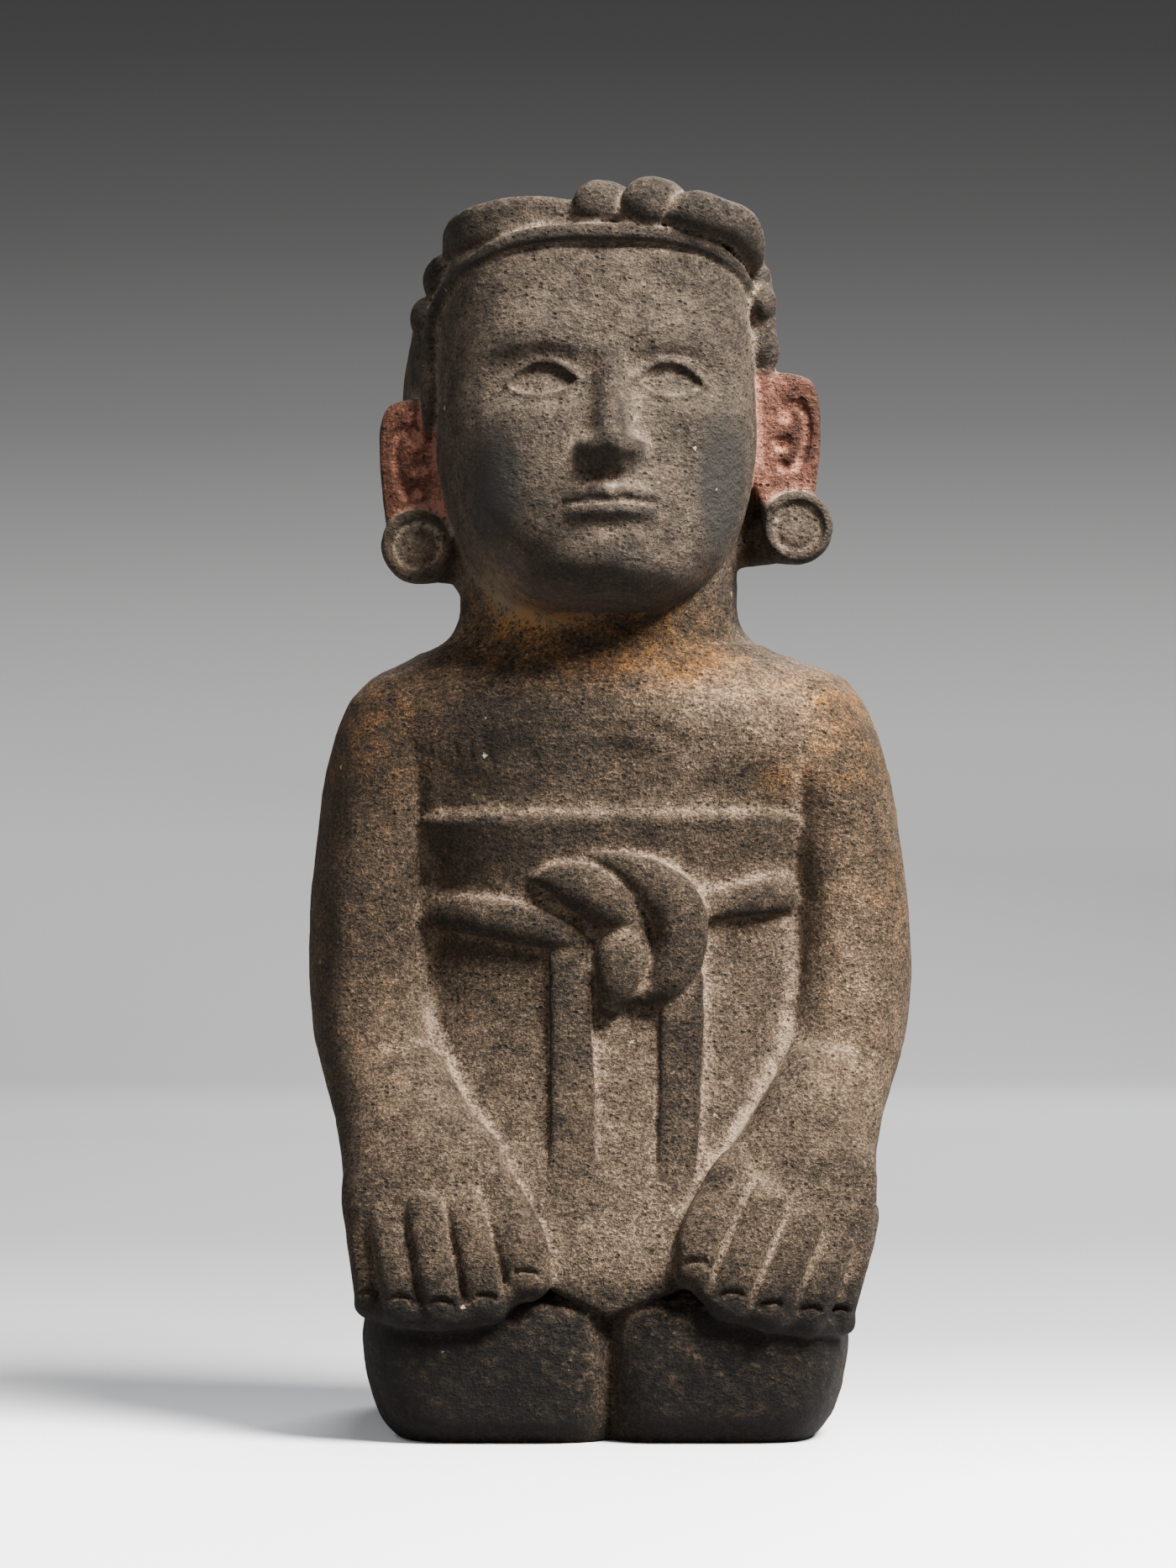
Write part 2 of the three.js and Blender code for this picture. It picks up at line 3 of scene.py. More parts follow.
import bpy
import numpy as np
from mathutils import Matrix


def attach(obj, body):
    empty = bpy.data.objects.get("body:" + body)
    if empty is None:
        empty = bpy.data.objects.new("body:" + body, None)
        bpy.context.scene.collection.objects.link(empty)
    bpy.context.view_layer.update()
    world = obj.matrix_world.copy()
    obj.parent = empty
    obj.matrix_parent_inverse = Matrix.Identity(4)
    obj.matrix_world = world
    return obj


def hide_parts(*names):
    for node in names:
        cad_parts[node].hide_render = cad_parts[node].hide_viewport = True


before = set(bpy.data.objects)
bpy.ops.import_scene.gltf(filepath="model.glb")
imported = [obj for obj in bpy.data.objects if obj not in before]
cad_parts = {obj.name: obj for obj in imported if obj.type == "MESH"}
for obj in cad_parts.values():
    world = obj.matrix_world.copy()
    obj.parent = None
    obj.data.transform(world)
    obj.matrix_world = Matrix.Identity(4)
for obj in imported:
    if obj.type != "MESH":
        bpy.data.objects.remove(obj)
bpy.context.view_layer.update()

import openvdb
from mathutils import Vector

# A kneeling woman in dark volcanic stone. The forms are worked out in millimetres, sunk into one
# block of small cells where they melt into each other like carved stone, and skinned again.

pi = math.pi

block = {
    "cell": 1.25,  # size of the cells in mm, and so the finest edge the skin can hold
    "low": (-142.0, -131.0, -9.0),  # its lowest and highest corners
    "high": (142.0, 131.0, 555.0),
    "reach": 21.0,  # how far from a surface its distance is known, and so the widest fillet
    "least": 3.0,  # the least distance worked out round a form
    "floor": 0.05,  # height of the flat underside
    "triangles": 190000,
}


# Shared ways of making a form. Each form is a grid of points, rows by steps around, whose first
# and last rows are drawn in to a point so that it is closed.


# Runs a smooth curve through rows of numbers: at each row the slope is that of the line through
# its two neighbours, and a cubic joins each row to the next.
def through(places, rows, at):
    places = np.asarray(places, float)
    rows = np.asarray(rows, float)
    slopes = np.gradient(rows, places, axis=0)
    at = np.clip(np.asarray(at, float), places[0], places[-1])
    left = np.clip(np.searchsorted(places, at, side="right") - 1, 0, len(places) - 2)
    step = places[left + 1] - places[left]
    s = ((at - places[left]) / step)[..., None]
    step = step[..., None]
    a, b = rows[left], rows[left + 1]
    return (
        a * (2 * s**3 - 3 * s**2 + 1)
        + b * (3 * s**2 - 2 * s**3)
        + step * slopes[left] * (s**3 - 2 * s**2 + s)
        + step * slopes[left + 1] * (s**3 - s**2)
    )


# The power of a number's size, with the number's own sign.
def signedPower(value, power):
    return np.sign(value) * np.abs(value) ** power


# Draws the first and last rows of a grid in to their middles.
def closedRows(grid):
    first = np.broadcast_to(grid[0].mean(0), grid[0].shape)
    last = np.broadcast_to(grid[-1].mean(0), grid[-1].shape)
    return np.concatenate([first[None], grid, last[None]])


# A form stacked from level sections. A section is a superellipse: x is the middle plus half the
# width times cos(a) to the power 2/n, y the middle plus half the depth times sin(a) to the power
# 2/n. Rows are z, low x, high x, front, back and n.
def stacked(rows, around=160, step=1.6):
    rows = np.array(rows, float)
    z = np.linspace(rows[0, 0], rows[-1, 0], int((rows[-1, 0] - rows[0, 0]) / step) + 2)
    lowX, highX, front, back, n = through(rows[:, 0], rows[:, 1:], z).T[:, :, None]
    a = (np.arange(around) + 0.5) / around * 2 * pi
    x = (lowX + highX) / 2 + (highX - lowX) / 2 * signedPower(np.cos(a), 2 / n)
    y = (front + back) / 2 + (back - front) / 2 * signedPower(np.sin(a), 2 / n)
    return closedRows(np.stack([x, y, np.broadcast_to(z[:, None], x.shape)], 2))


# A form carried along a curve through stations of x, y, z, half width and half thickness: the
# centre of a ring plus width times cos(a) across the curve and thickness times sin(a) out of it,
# each to the power 2/n. Past the ends the rings shrink as a half circle does.
def carried(stations, facing=(0, -1, 0), n=2.0, around=48, fine=1.4, bulge=1.0, capRows=8):
    stations = np.array(stations, float)
    run = np.r_[0, np.cumsum(np.linalg.norm(np.diff(stations[:, :3], axis=0), axis=1))]
    t = np.linspace(0, run[-1], int(run[-1] / fine) + 6)
    path = through(run, stations, t)
    along = np.gradient(path[:, :3], t, axis=0)
    along /= np.linalg.norm(along, axis=1)[:, None]
    across = np.cross(np.broadcast_to(facing, along.shape), along)
    across /= np.linalg.norm(across, axis=1)[:, None]
    out = np.cross(along, across)
    cap = np.linspace(pi / 2, 0, capRows + 1)[:-1]
    row = np.r_[np.zeros(capRows, int), np.arange(len(t)), np.full(capRows, len(t) - 1)]
    shrink = np.r_[np.cos(cap), np.ones(len(t)), np.cos(cap[::-1])]
    shift = np.r_[-np.sin(cap), np.zeros(len(t)), np.sin(cap[::-1])] * bulge
    wide, thick = path[row, 3], path[row, 4]
    centre = path[row, :3] + along[row] * (shift * np.minimum(wide, thick))[:, None]
    a = np.arange(around) / around * 2 * pi
    sideways = (wide * shrink)[:, None] * signedPower(np.cos(a), 2 / n)
    outward = (thick * shrink)[:, None] * signedPower(np.sin(a), 2 / n)
    return (
        centre[:, None]
        + across[row][:, None] * sideways[..., None]
        - out[row][:, None] * outward[..., None]
    )


# A ball with three half axes: a sphere from its two angles, each axis times its own length.
def ball(centre, axes, rows=28, around=48):
    u = np.linspace(0, pi, rows)[:, None]
    v = np.arange(around) / around * 2 * pi
    shape = np.stack([np.sin(u) * np.cos(v), np.sin(u) * np.sin(v), np.cos(u) + 0 * v], 2)
    return shape * axes + centre


# Points tipped back about x and then turned about the upright, in degrees.
def turned(points, turn, tip):
    c, s = math.cos(math.radians(turn)), math.sin(math.radians(turn))
    d, e = math.cos(math.radians(tip)), math.sin(math.radians(tip))
    upright = np.array([[c, -s, 0], [s, c, 0], [0, 0, 1]])
    back = np.array([[1, 0, 0], [0, d, e], [0, -e, d]])
    return points @ (upright @ back).T


# A slab with an outline in x and z, its corners cut round three times over, carried back from
# the depth y. Over the first rows the outline opens from its inset front edge to full size.
def slab(outline, y, thickness, edge=2.0, rounding=3):
    points = np.array(outline, float)
    for _ in range(rounding):
        following = np.roll(points, -1, 0)
        cuts = [points * 0.75 + following * 0.25, points * 0.25 + following * 0.75]
        points = np.stack(cuts, 1).reshape(-1, 2)
    middle = points.mean(0)
    half = np.abs(points - middle).max()
    rows = []
    for depth, inset in [(0, 2 * edge), (0.15 * edge, edge), (0.45 * edge, 0.4 * edge), (edge, 0)]:
        rows.append((y + depth, 1 - inset / half))
    rows.append((y + thickness, 1))
    depth, size = np.array(rows).T
    flat = middle + (points - middle) * size[:, None, None]
    y = np.broadcast_to(depth[:, None], flat.shape[:2])
    return closedRows(np.stack([flat[..., 0], y, flat[..., 1]], 2))


# A profile of radius and depth carried round an axis that runs along y: x is the radius times
# cos(a), z the radius times sin(a).
def lathed(profile, centre, around=72, fine=6):
    profile = np.array(profile, float)
    run = np.arange(len(profile))
    smooth = through(run, profile, np.linspace(0, len(profile) - 1, len(profile) * fine))
    a = np.arange(around) / around * 2 * pi
    radius, depth = np.maximum(smooth[:, :1], 0), smooth[:, 1:]
    grid = np.stack([radius * np.cos(a), depth + 0 * a, radius * np.sin(a)], 2) + centre
    return closedRows(grid)


# The block of cells that everything is sunk into

blockLow = np.array(block["low"])
counts = np.ceil((np.array(block["high"]) - blockLow) / block["cell"]).astype(int) + 1
stone = np.full(counts, block["reach"], np.float32)


# Places in mm of the cells along one axis: the low corner plus the cell's size times its number.
def cellPlaces(axis):
    return blockLow[axis] + np.arange(counts[axis]) * block["cell"]


# The signed distance to a form in mm, for the cells round it: (first cell, distances).
def distances(form, reach):
    rows, around = form.shape[:2]
    points = ((form.reshape(-1, 3) - blockLow) / block["cell"]).astype(np.float32)
    i = np.arange(rows - 1)[:, None] * around
    j = np.arange(around)
    k = (j + 1) % around
    quads = np.stack([i + j, i + around + j, i + around + k, i + k], 2).reshape(-1, 4)
    a, b, c = (points[quads[:, corner]] for corner in range(3))
    if (np.cross(b - a, c - a) * a).sum() < 0:  # its faces point inwards
        quads = quads[:, ::-1]
    quads = np.ascontiguousarray(quads, dtype=np.uint32)
    width = reach / block["cell"] + 1
    grid = openvdb.FloatGrid.createLevelSetFromPolygons(points, quads=quads, halfWidth=width)
    first, last = grid.evalActiveVoxelBoundingBox()
    first = np.maximum(first, 0)
    last = np.minimum(last, counts - 1)
    found = np.zeros(last - first + 1, np.float32)
    grid.copyToArray(found, ijk=tuple(int(v) for v in first))
    found *= block["cell"]
    found[found > reach] = block["reach"]
    return first, found


# The part of the block that some found distances fill.
def cellsOf(first, found):
    return tuple(slice(f, f + n) for f, n in zip(first, found.shape))


# Adds a form. Where two surfaces come closer than the fillet they melt into each other: the lesser
# distance, less the square of what the gap lacks of the fillet, over four times the fillet.
def add(form, fillet=2.0, target=None):
    target = stone if target is None else target
    first, found = distances(form, max(float(np.max(fillet)), block["least"]))
    cells = cellsOf(first, found)
    held = target[cells]
    if np.ndim(fillet):
        fillet = np.asarray(fillet)[cells[2]]
    lack = np.maximum(fillet - np.abs(held - found), 0)
    target[cells] = np.minimum(held, found) - lack**2 / (4 * fillet)


# Cuts a form out, with the same softening of the edge it leaves.
def carve(form, fillet=1.5):
    first, found = distances(form, max(fillet, block["least"]))
    cells = cellsOf(first, found)
    held = stone[cells]
    lack = np.maximum(fillet - np.abs(held + found), 0)
    stone[cells] = np.maximum(held, -found) + lack**2 / (4 * fillet)


# Trunk and skirt

trunk = {
    "rows": [  # height, low x, high x, front, back, squareness
        [30, -97, 95, -88, 112, 4.5],
        [46, -100, 98, -101, 112, 4.2],
        [62, -101, 99, -103, 111, 3.8],
        [95, -100, 98, -97, 110, 3.2],
        [140, -97, 96, -81, 103, 3.0],
        [180, -95, 95, -71, 94, 2.8],
        [215, -94, 94, -68, 88, 2.7],
        [250, -94, 94, -69, 84, 2.9],
        [288, -101, 99, -72, 82, 3.7],
        [312, -102, 98, -70, 78, 3.6],
        [328, -92, 88, -62, 70, 3.0],
        [340, -74, 66, -52, 60, 2.4],
    ],
    "apronPoint": (-1, 53),  # x and z of the skirt's front point
    "apronCorners": (-27, 30, 66),  # where it passes under the thumbs, and how high
    "hemSlope": 0.93,  # makes a height over the slanting hem a distance to it
    "hemFillet": 4.0,
}


# How far forward the trunk's own surface is at x and z: half the depth times the root of what x
# leaves of the superellipse, in front of the middle.
def trunkFront(x, z):
    rows = np.array(trunk["rows"])
    lowX, highX, front, back, n = through(rows[:, 0], rows[:, 1:], z).T
    off = np.minimum(np.abs(x - (lowX + highX) / 2) / ((highX - lowX) / 2), 1)
    return (front + back) / 2 - (back - front) / 2 * (1 - off**n) ** (1 / n)


# The trunk in a block of its own, less all that lies under the skirt's front hem.
def makeTrunk():
    body = np.full(counts, block["reach"], np.float32)
    add(stacked(trunk["rows"], around=240), 1.0, body)
    (pointX, pointZ), (leftX, rightX, cornerZ) = trunk["apronPoint"], trunk["apronCorners"]
    hem = np.interp(cellPlaces(0), [leftX, pointX, rightX], [cornerZ, pointZ, cornerZ])
    below = (hem[:, None] - cellPlaces(2))[:, None, :] * trunk["hemSlope"]
    lack = np.maximum(trunk["hemFillet"] - np.abs(body - below), 0)
    np.maximum(body, below, out=body)
    body += lack**2 / (4 * trunk["hemFillet"])
    return body


print("trunk and skirt")
stone[:] = makeTrunk()

# Arms and shoulders

arms = {
    -1: [  # height, inner and outer edge, front, back
        [78, 33, 112, -103, -76],
        [104, 35, 115.5, -103, -62],
        [120, 43, 116, -97, -42],
        [136, 54, 119.5, -87, -14],
        [152, 61, 124.5, -76, 18],
        [170, 68, 130, -67, 40],
        [190, 75, 132.3, -61, 46],
        [220, 77, 132.3, -59, 50],
        [257, 72, 129.5, -61, 52],
        [290, 66, 124.5, -65, 54],
        [308, 62, 119.5, -61, 52],
        [322, 58, 112, -52, 48],
        [331, 58, 101, -40, 42],
        [337, 62, 84, -26, 28],
    ],
    1: [
        [74, 37, 110, -103, -76],
        [104, 39, 114, -103, -62],
        [120, 45, 115, -97, -42],
        [136, 53, 118, -87, -14],
        [152, 62, 123.5, -76, 18],
        [170, 69, 129.5, -67, 40],
        [190, 74, 132.2, -61, 46],
        [220, 77, 131.8, -59, 50],
        [257, 72, 127.5, -61, 52],
        [290, 66, 121.5, -65, 54],
        [308, 62, 116, -61, 52],
        [322, 58, 108.5, -52, 48],
        [331, 58, 98, -40, 42],
        [337, 60, 80, -26, 28],
    ],
    "square": 2.6,
    "fillet": [(180, 5.0), (215, 9.0), (275, 16.0), (300, 20.0)],  # height and radius
    "chest": [(-40, -53, 303), (39, -53, 304)],  # middles of the two soft swellings
    "chestSize": (36, 23, 21),
    "chestFillet": 12.0,
}


def makeArms():
    fillet = np.interp(cellPlaces(2), *zip(*arms["fillet"])).astype(np.float32)
    for side in (-1, 1):
        rows = []
        for z, inner, outer, front, back in arms[side]:
            rows.append([z, *sorted([side * inner, side * outer]), front, back, arms["square"]])
        add(stacked(rows, around=120), fillet)
    for middle in arms["chest"]:
        add(ball(middle, arms["chestSize"]), arms["chestFillet"])


print("arms")
makeArms()

# Neck

neck = {
    "middle": -5,
    "half": 62,
    "back": 58,
    "square": 2.3,
    "fillet": 18.0,
    "spread": [  # height, how much wider than the neck, front
        [312, 30, -72],
        [331, 15, -65],
        [342, 5, -58],
        [352, 0.5, -53],
        [370, -0.5, -51],
        [410, 0, -55],
    ],
}


def makeNeck():
    rows = []
    for z, spread, front in neck["spread"]:
        half = neck["half"] + spread
        back = neck["back"] + spread * 0.8
        rows.append([z, neck["middle"] - half, neck["middle"] + half, front, back, neck["square"]])
    add(stacked(rows), neck["fillet"])


print("neck")
makeNeck()

# Folded legs, with the soles behind

legs = {
    "rows": [  # height, outer x, front, back
        [-1, 92, -97, 107],
        [2.5, 96, -101, 111],
        [8, 100, -106, 115],
        [17, 104, -108.5, 117],
        [32, 107.3, -109.5, 118],
        [46, 107.8, -108, 117],
        [58, 104, -101, 110],
        [66, 95, -84, 96],
    ],
    "square": 4.8,
    "cleft": -0.5,  # x of the groove between the knees
    "cleftFillet": 2.5,
    "overlap": 6,  # how far each leg runs past it
    "rightNarrower": 4.5,
    "thigh": [[74, 82, 92, 24, 25], [79, 20, 88, 26, 26], [80, -50, 84, 26, 26]],
    "thighFillet": 9.0,
    "sole": [[42, 104, 50, 19, 14], [40, 101, 34, 17, 14], [42, 104, 17, 23, 15]],
    "soleFillet": 4.0,
    "toeMiddle": (42, 111),  # x and y
    "toeLength": 9.5,
    "toes": [  # off the middle, half width, half height
        (-19, 5.6, 6.2),
        (-9, 5.0, 7.0),
        (0, 5.0, 7.4),
        (9, 5.0, 7.6),
        (19, 6.6, 8.4),
    ],
}


def makeLegs():
    for side in (-1, 1):
        rows = []
        for z, outer, front, back in legs["rows"]:
            far = side * (outer - (legs["rightNarrower"] if side > 0 else 0))
            x = sorted([far, legs["cleft"] - side * legs["overlap"]])
            rows.append([z, *x, front, back, legs["square"]])
        add(stacked(rows, around=200), legs["cleftFillet"])
        thigh = np.array(legs["thigh"], float) * [side, 1, 1, 1, 1]
        add(carried(thigh, facing=(0, 0, 1)), legs["thighFillet"])
        sole = np.array(legs["sole"], float) * [side, 1, 1, 1, 1]
        add(carried(sole, facing=(0, 1, 0)), legs["soleFillet"])
        x, y = legs["toeMiddle"]
        for off, wide, high in legs["toes"]:
            add(ball([side * (x + off), y, high], [wide, legs["toeLength"], high]), 1.5)


print("legs")
makeLegs()

# Hands, spread on the knees

hands = {
    -1: {
        "thumb": [
            [-58, -84, 124, 7, 5],
            [-51, -92, 110, 10, 9],
            [-44, -98, 95, 12.0, 11],
            [-38, -103, 81, 11.6, 11.5],
            [-35.3, -105.5, 68.5, 9.8, 10.5],
        ],
        "fingers": [  # knuckle, tip, half width, half depth
            [(-63.5, -95, 106), (-52.5, -109, 58.5), 9.2, 10.5],
            [(-81, -95, 106), (-71.3, -110, 56.5), 9.2, 10.5],
            [(-98, -89, 105), (-88.7, -106, 57.5), 8.8, 10.5],
            [(-109, -78, 104), (-102.6, -94, 59), 7.2, 12],
        ],
        "tips": [  # the roll of stone under the fingertips
            [-31, -98, 71, 5, 9],
            [-41, -103, 66, 6, 10],
            [-53, -105, 59, 7, 10.5],
            [-71, -105.5, 56, 7, 10.5],
            [-89, -101, 57, 7, 10.5],
            [-102, -90, 59, 6.5, 10],
        ],
        "palm": [
            [-90, -62, 150, 22, 18],
            [-84, -76, 130, 27, 18],
            [-78, -86, 113, 33, 14],
            [-75, -88, 100, 30, 10],
        ],
    },
    1: {
        "thumb": [
            [62, -84, 127, 7, 5],
            [53, -92, 114, 10.5, 9],
            [44.5, -98, 99, 11.0, 11],
            [38, -103, 85, 10.4, 11.5],
            [35.5, -105.5, 73, 8.4, 10],
        ],
        "fingers": [
            [(69, -95, 108), (49.5, -109, 60), 9.8, 10.5],
            [(85.5, -94, 101), (66.5, -110.5, 56), 9.0, 10.5],
            [(101, -87, 97), (83, -106, 53.5), 8.8, 10.5],
            [(108.5, -76, 93), (96.5, -93, 52), 7.0, 12],
        ],
        "tips": [
            [31, -98, 76, 5, 9],
            [39, -103, 69, 6, 10],
            [50, -105, 60.5, 7, 10.5],
            [66, -105.5, 56, 7, 10.5],
            [82, -101, 53.5, 7, 10.5],
            [97, -90, 52, 6.5, 10],
        ],
        "palm": [
            [92, -62, 150, 20, 18],
            [85, -76, 130, 26, 18],
            [82, -86, 114, 31, 14],
            [83, -88, 102, 28, 10],
        ],
    },
    "palmFillet": 5.0,
    "fingerFillet": 1.2,
    "nailWide": 0.52,  # a share of the finger's half width
    "nailHigh": 2.75,  # in mm
    "nailDeep": 1.6,
    "nailGroove": 1.15,  # half the width of the cut round it
    "nailUp": 4.0,  # how far over the fingertip's middle
}


# A nail is the patch under an arch cut across the finger, a little above its tip: cos(a) of the
# nail's half width to the side, and sin(a) of its height up the finger.
def makeNail(centre, along, wide):
    a = np.linspace(0, pi, 9)[:, None]
    slide = np.cos(a) * wide * hands["nailWide"]
    lift = np.sin(a) * hands["nailHigh"]
    places = centre + slide * [1, 0, 0] + (0.05 * np.abs(slide) - 0.1) * [0, 1, 0] + lift * along
    groove = np.broadcast_to([hands["nailGroove"], hands["nailDeep"]], (len(a), 2))
    carve(carried(np.concatenate([places, groove], 1), around=16, fine=0.8), 0.8)


def makeHands():
    for side in (-1, 1):
        hand = hands[side]
        add(carried(hand["palm"], n=2.4), hands["palmFillet"])
        add(carried(hand["tips"], n=2.4), 2.0)
        add(carried(hand["thumb"], n=2.3, bulge=0.8), 1.6)
        for knuckle, tip, wide, deep in hand["fingers"]:
            (kx, ky, kz), (tx, ty, tz) = knuckle, tip
            stations = [
                [kx + (kx - tx) * 0.14, ky + 5, kz + 6, wide * 0.8, deep * 0.3],
                [kx, ky + 1, kz, wide * 0.95, deep * 0.75],
                [(kx + tx) / 2, (ky + ty) / 2 - 1.5, (kz + tz) / 2, wide, deep],
                [tx, ty, tz, wide * 0.98, deep * 0.86],
            ]
            add(carried(stations, n=2.5, bulge=0.85), hands["fingerFillet"])
        for tip, above, wide, deep in nailPlaces(hand):
            up = above - tip
            up /= np.linalg.norm(up)
            makeNail(tip + up * hands["nailUp"] - np.array([0, deep * 0.97, 0]), up, wide)


# Each finger's tip, a place further up it, and its half width and half depth at the tip.
def nailPlaces(hand):
    places = []
    for knuckle, tip, wide, deep in hand["fingers"]:
        places.append((np.array(tip, float), np.array(knuckle, float), wide, deep * 0.86))
    thumb = np.array(hand["thumb"], float)
    return places + [(thumb[-1, :3], thumb[-2, :3], thumb[-1, 3], thumb[-1, 4])]


print("hands")
makeHands()

# Waistband and belt

belt = {
    "band": [  # height and how proud it stands, up the waistband
        (229, -0.8),
        (239, 0.8),
        (252, 3.15),
        (260.5, 4.5),
        (266.5, 4.5),
        (272, -1.0),
    ],
    # strips of cloth on the trunk's front: x, height, half width, half depth, how proud
    "endLeft": [
        [-17.5, 207, 9.3, 6, -0.6],
        [-17, 160, 9.6, 6, -0.8],
        [-16.5, 120, 10, 5, -1.8],
        [-16, 98, 10, 4, -4.5],
    ],
    "endRight": [
        [30.5, 198, 9.5, 6, -0.6],
        [30, 160, 9.5, 6, -0.8],
        [28.5, 120, 8.5, 5, -1.8],
        [27, 98, 7.5, 4, -4.5],
    ],
    "strandLeft": [
        [-80, 226, 8, 5, -0.5],
        [-60, 225, 8.6, 6.5, 0.2],
        [-38, 221.5, 9, 7.2, 0.8],
        [-20, 216.5, 6.6, 6.5, 1.2],
        [-11, 213, 3, 4, 1],
    ],
    "strandRight": [
        [40, 228.5, 6.5, 5, 0],
        [61, 233, 8.3, 7, 1],
        [86, 236, 9.5, 6, 0.5],
    ],
    "loop": [
        [-32, 241, 3, 4, 0],
        [-23, 240.5, 8.4, 7.5, 1.5],
        [-11, 237, 11.6, 9.5, 2.5],
        [1, 230, 11.4, 10, 3],
        [10, 222.5, 7, 7, 2],
    ],
    "knob": [
        [7, 215, 10.5, 8, 1.5],
        [5.5, 206, 12.6, 11.5, 3],
        [3, 197, 10.5, 11.5, 3],
        [-0.5, 187, 6.5, 8.5, 1.5],
    ],
    "curl": [
        [-6, 250.5, 3.5, 5, 0.5],
        [6, 246.5, 6.8, 8, 2],
        [18.5, 238.5, 10.6, 10.5, 3.5],
        [27.5, 229, 12.4, 12, 4],
        [30, 218, 12, 12, 4],
        [28, 205, 11, 11, 3.5],
        [22, 195, 8.5, 9, 2.5],
        [15, 190.5, 5, 6, 1.5],
    ],
    "order": [  # strip, squareness, fillet
        ("endLeft", 4.0, 2.2),
        ("endRight", 4.0, 2.2),
        ("strandLeft", 2.0, 2.0),
        ("strandRight", 2.0, 2.5),
        ("loop", 2.0, 1.8),
        ("knob", 2.0, 1.8),
        ("curl", 2.0, 1.8),
    ],
}


# Carries a strip over the trunk, its middle sunk to how proud it stands of the trunk's surface.
def onTrunk(name, n):
    x, z, wide, thick, out = np.array(belt[name], float).T
    y = trunkFront(x, z) - out
    return carried(np.stack([x, y, z, wide, thick], 1), n=n)


def makeBelt():
    source = np.array(trunk["rows"])
    rows = []
    for z, out in belt["band"]:
        lowX, highX, front, back, n = through(source[:, 0], source[:, 1:], np.array(z))
        rows.append([z, lowX - out, highX + out, front - out, back + out, n])
    add(stacked(rows, around=240, step=0.8), 1.2)
    for name, n, fillet in belt["order"]:
        add(onTrunk(name, n), fillet)


print("belt")
makeBelt()

# The head, worked out upright round its own middle and then set on the neck

head = {
    "place": (-8, -5, 440),
    "tiltBack": 12,
    "turn": 5,
    "rows": [  # height, low x, high x, front, back, squareness
        [-92, -22, 22, -70, 14, 2.2],
        [-88, -32, 32, -77, 24, 2.2],
        [-75, -48, 48, -81, 40, 2.3],
        [-56, -61, 61, -81, 56, 2.5],
        [-28, -69, 69, -80, 66, 2.6],
        [5, -71, 71, -80, 70, 2.6],
        [35, -70.5, 70.5, -81, 72, 2.7],
        [58, -67.5, 67.5, -80.5, 71, 2.8],
        [74, -58, 58, -70, 62, 2.6],
        [84, -38, 38, -50, 46, 2.2],
    ],
    "faceDepth": (-52, -30),  # y where the face is at its full depth, and where it has run out
}

# A plain face set out in thirds of its height and fifths of its width, in mm
face = {
    "brow": 14,
    "noseBase": -39,
    "chin": -92,
    "eyeWidth": 28,
    "humps": [  # depth, to the side, from which line, over it, half width, half height, power
        (-7.0, 27.44, "eyes", 1.5, 21.84, 13, 2.6),  # eye sockets
        (4.2, 28, "eyes", 0, 15.4, 12, 2),  # eyeballs
        (4.5, 39.2, "nose", 19, 22, 19, 2),  # cheeks
        (6.5, 10.6, "nose", 5.5, 4.4, 5.2, 2.4),  # wings of the nose
        (-2.6, 5.6, "nose", -0.5, 2.8, 2.0, 2),  # nostrils
        (5.2, 0, "mouth", 3, 26, 20, 2),  # round the lips
        (-2.0, 0, "mouth", -12, 14, 4.4, 2),  # under the lower lip
        (4.8, 0, "chin", 14, 17, 11, 2),  # chin
    ],
    "browRidge": 3.0,  # depths
    "lids": (2.3, 1.6),  # upper and lower
    "eyeSunk": 2.6,
    "noseRoot": 2.0,
    "noseTip": 13.0,  # how much further out than its root
    "noseFlank": 4.5,
    "noseBall": 4.0,
    "upperLip": 4.4,
    "lowerLip": 5.2,
    "parting": 2.6,
    "groove": 1.2,
}


# From the head's own frame, upright round its middle, to its place on the neck.
def onHead(points):
    return turned(points, head["turn"], head["tiltBack"]) + head["place"]


# A soft hill: the distances across and up, each over its size and to the power, are added, and the
# height is e to the minus sum.
def hump(x, z, middle, size, power=2):
    across = (np.abs(x - middle[0]) / size[0]) ** power
    return np.exp(-across - (np.abs(z - middle[1]) / size[1]) ** power)


# The same along one line only: e to the minus power of the distance over the size.
def ridgeOver(distance, size, power=2):
    return np.exp(-(np.abs(distance / size) ** power))


# 0 at low and 1 at high, and between them 3 squares less 2 cubes of the share of the way.
def between(value, low, high):
    s = np.clip((value - low) / (high - low), 0, 1)
    return s * s * (3 - 2 * s)


# Lids stand round a lens between two arcs, with the eye a little inside it.
def eyeRelief(side, z, eyeLine):
    eye = face["eyeWidth"]
    u = (side - eye) / (eye * 0.53)
    v = (z - eyeLine + 0.3 * u) / np.where(z > eyeLine, 8.0, 6.4)
    lens = np.abs(v) - (1 - np.clip(np.abs(u) ** 2.2, 0, 1.6))
    lids = np.where(v > 0, *face["lids"]) * ridgeOver(lens - 0.13, 0.16) * between(np.abs(u), 1.22, 1.0)
    return lids - face["eyeSunk"] * between(-lens, -0.03, 0.16)


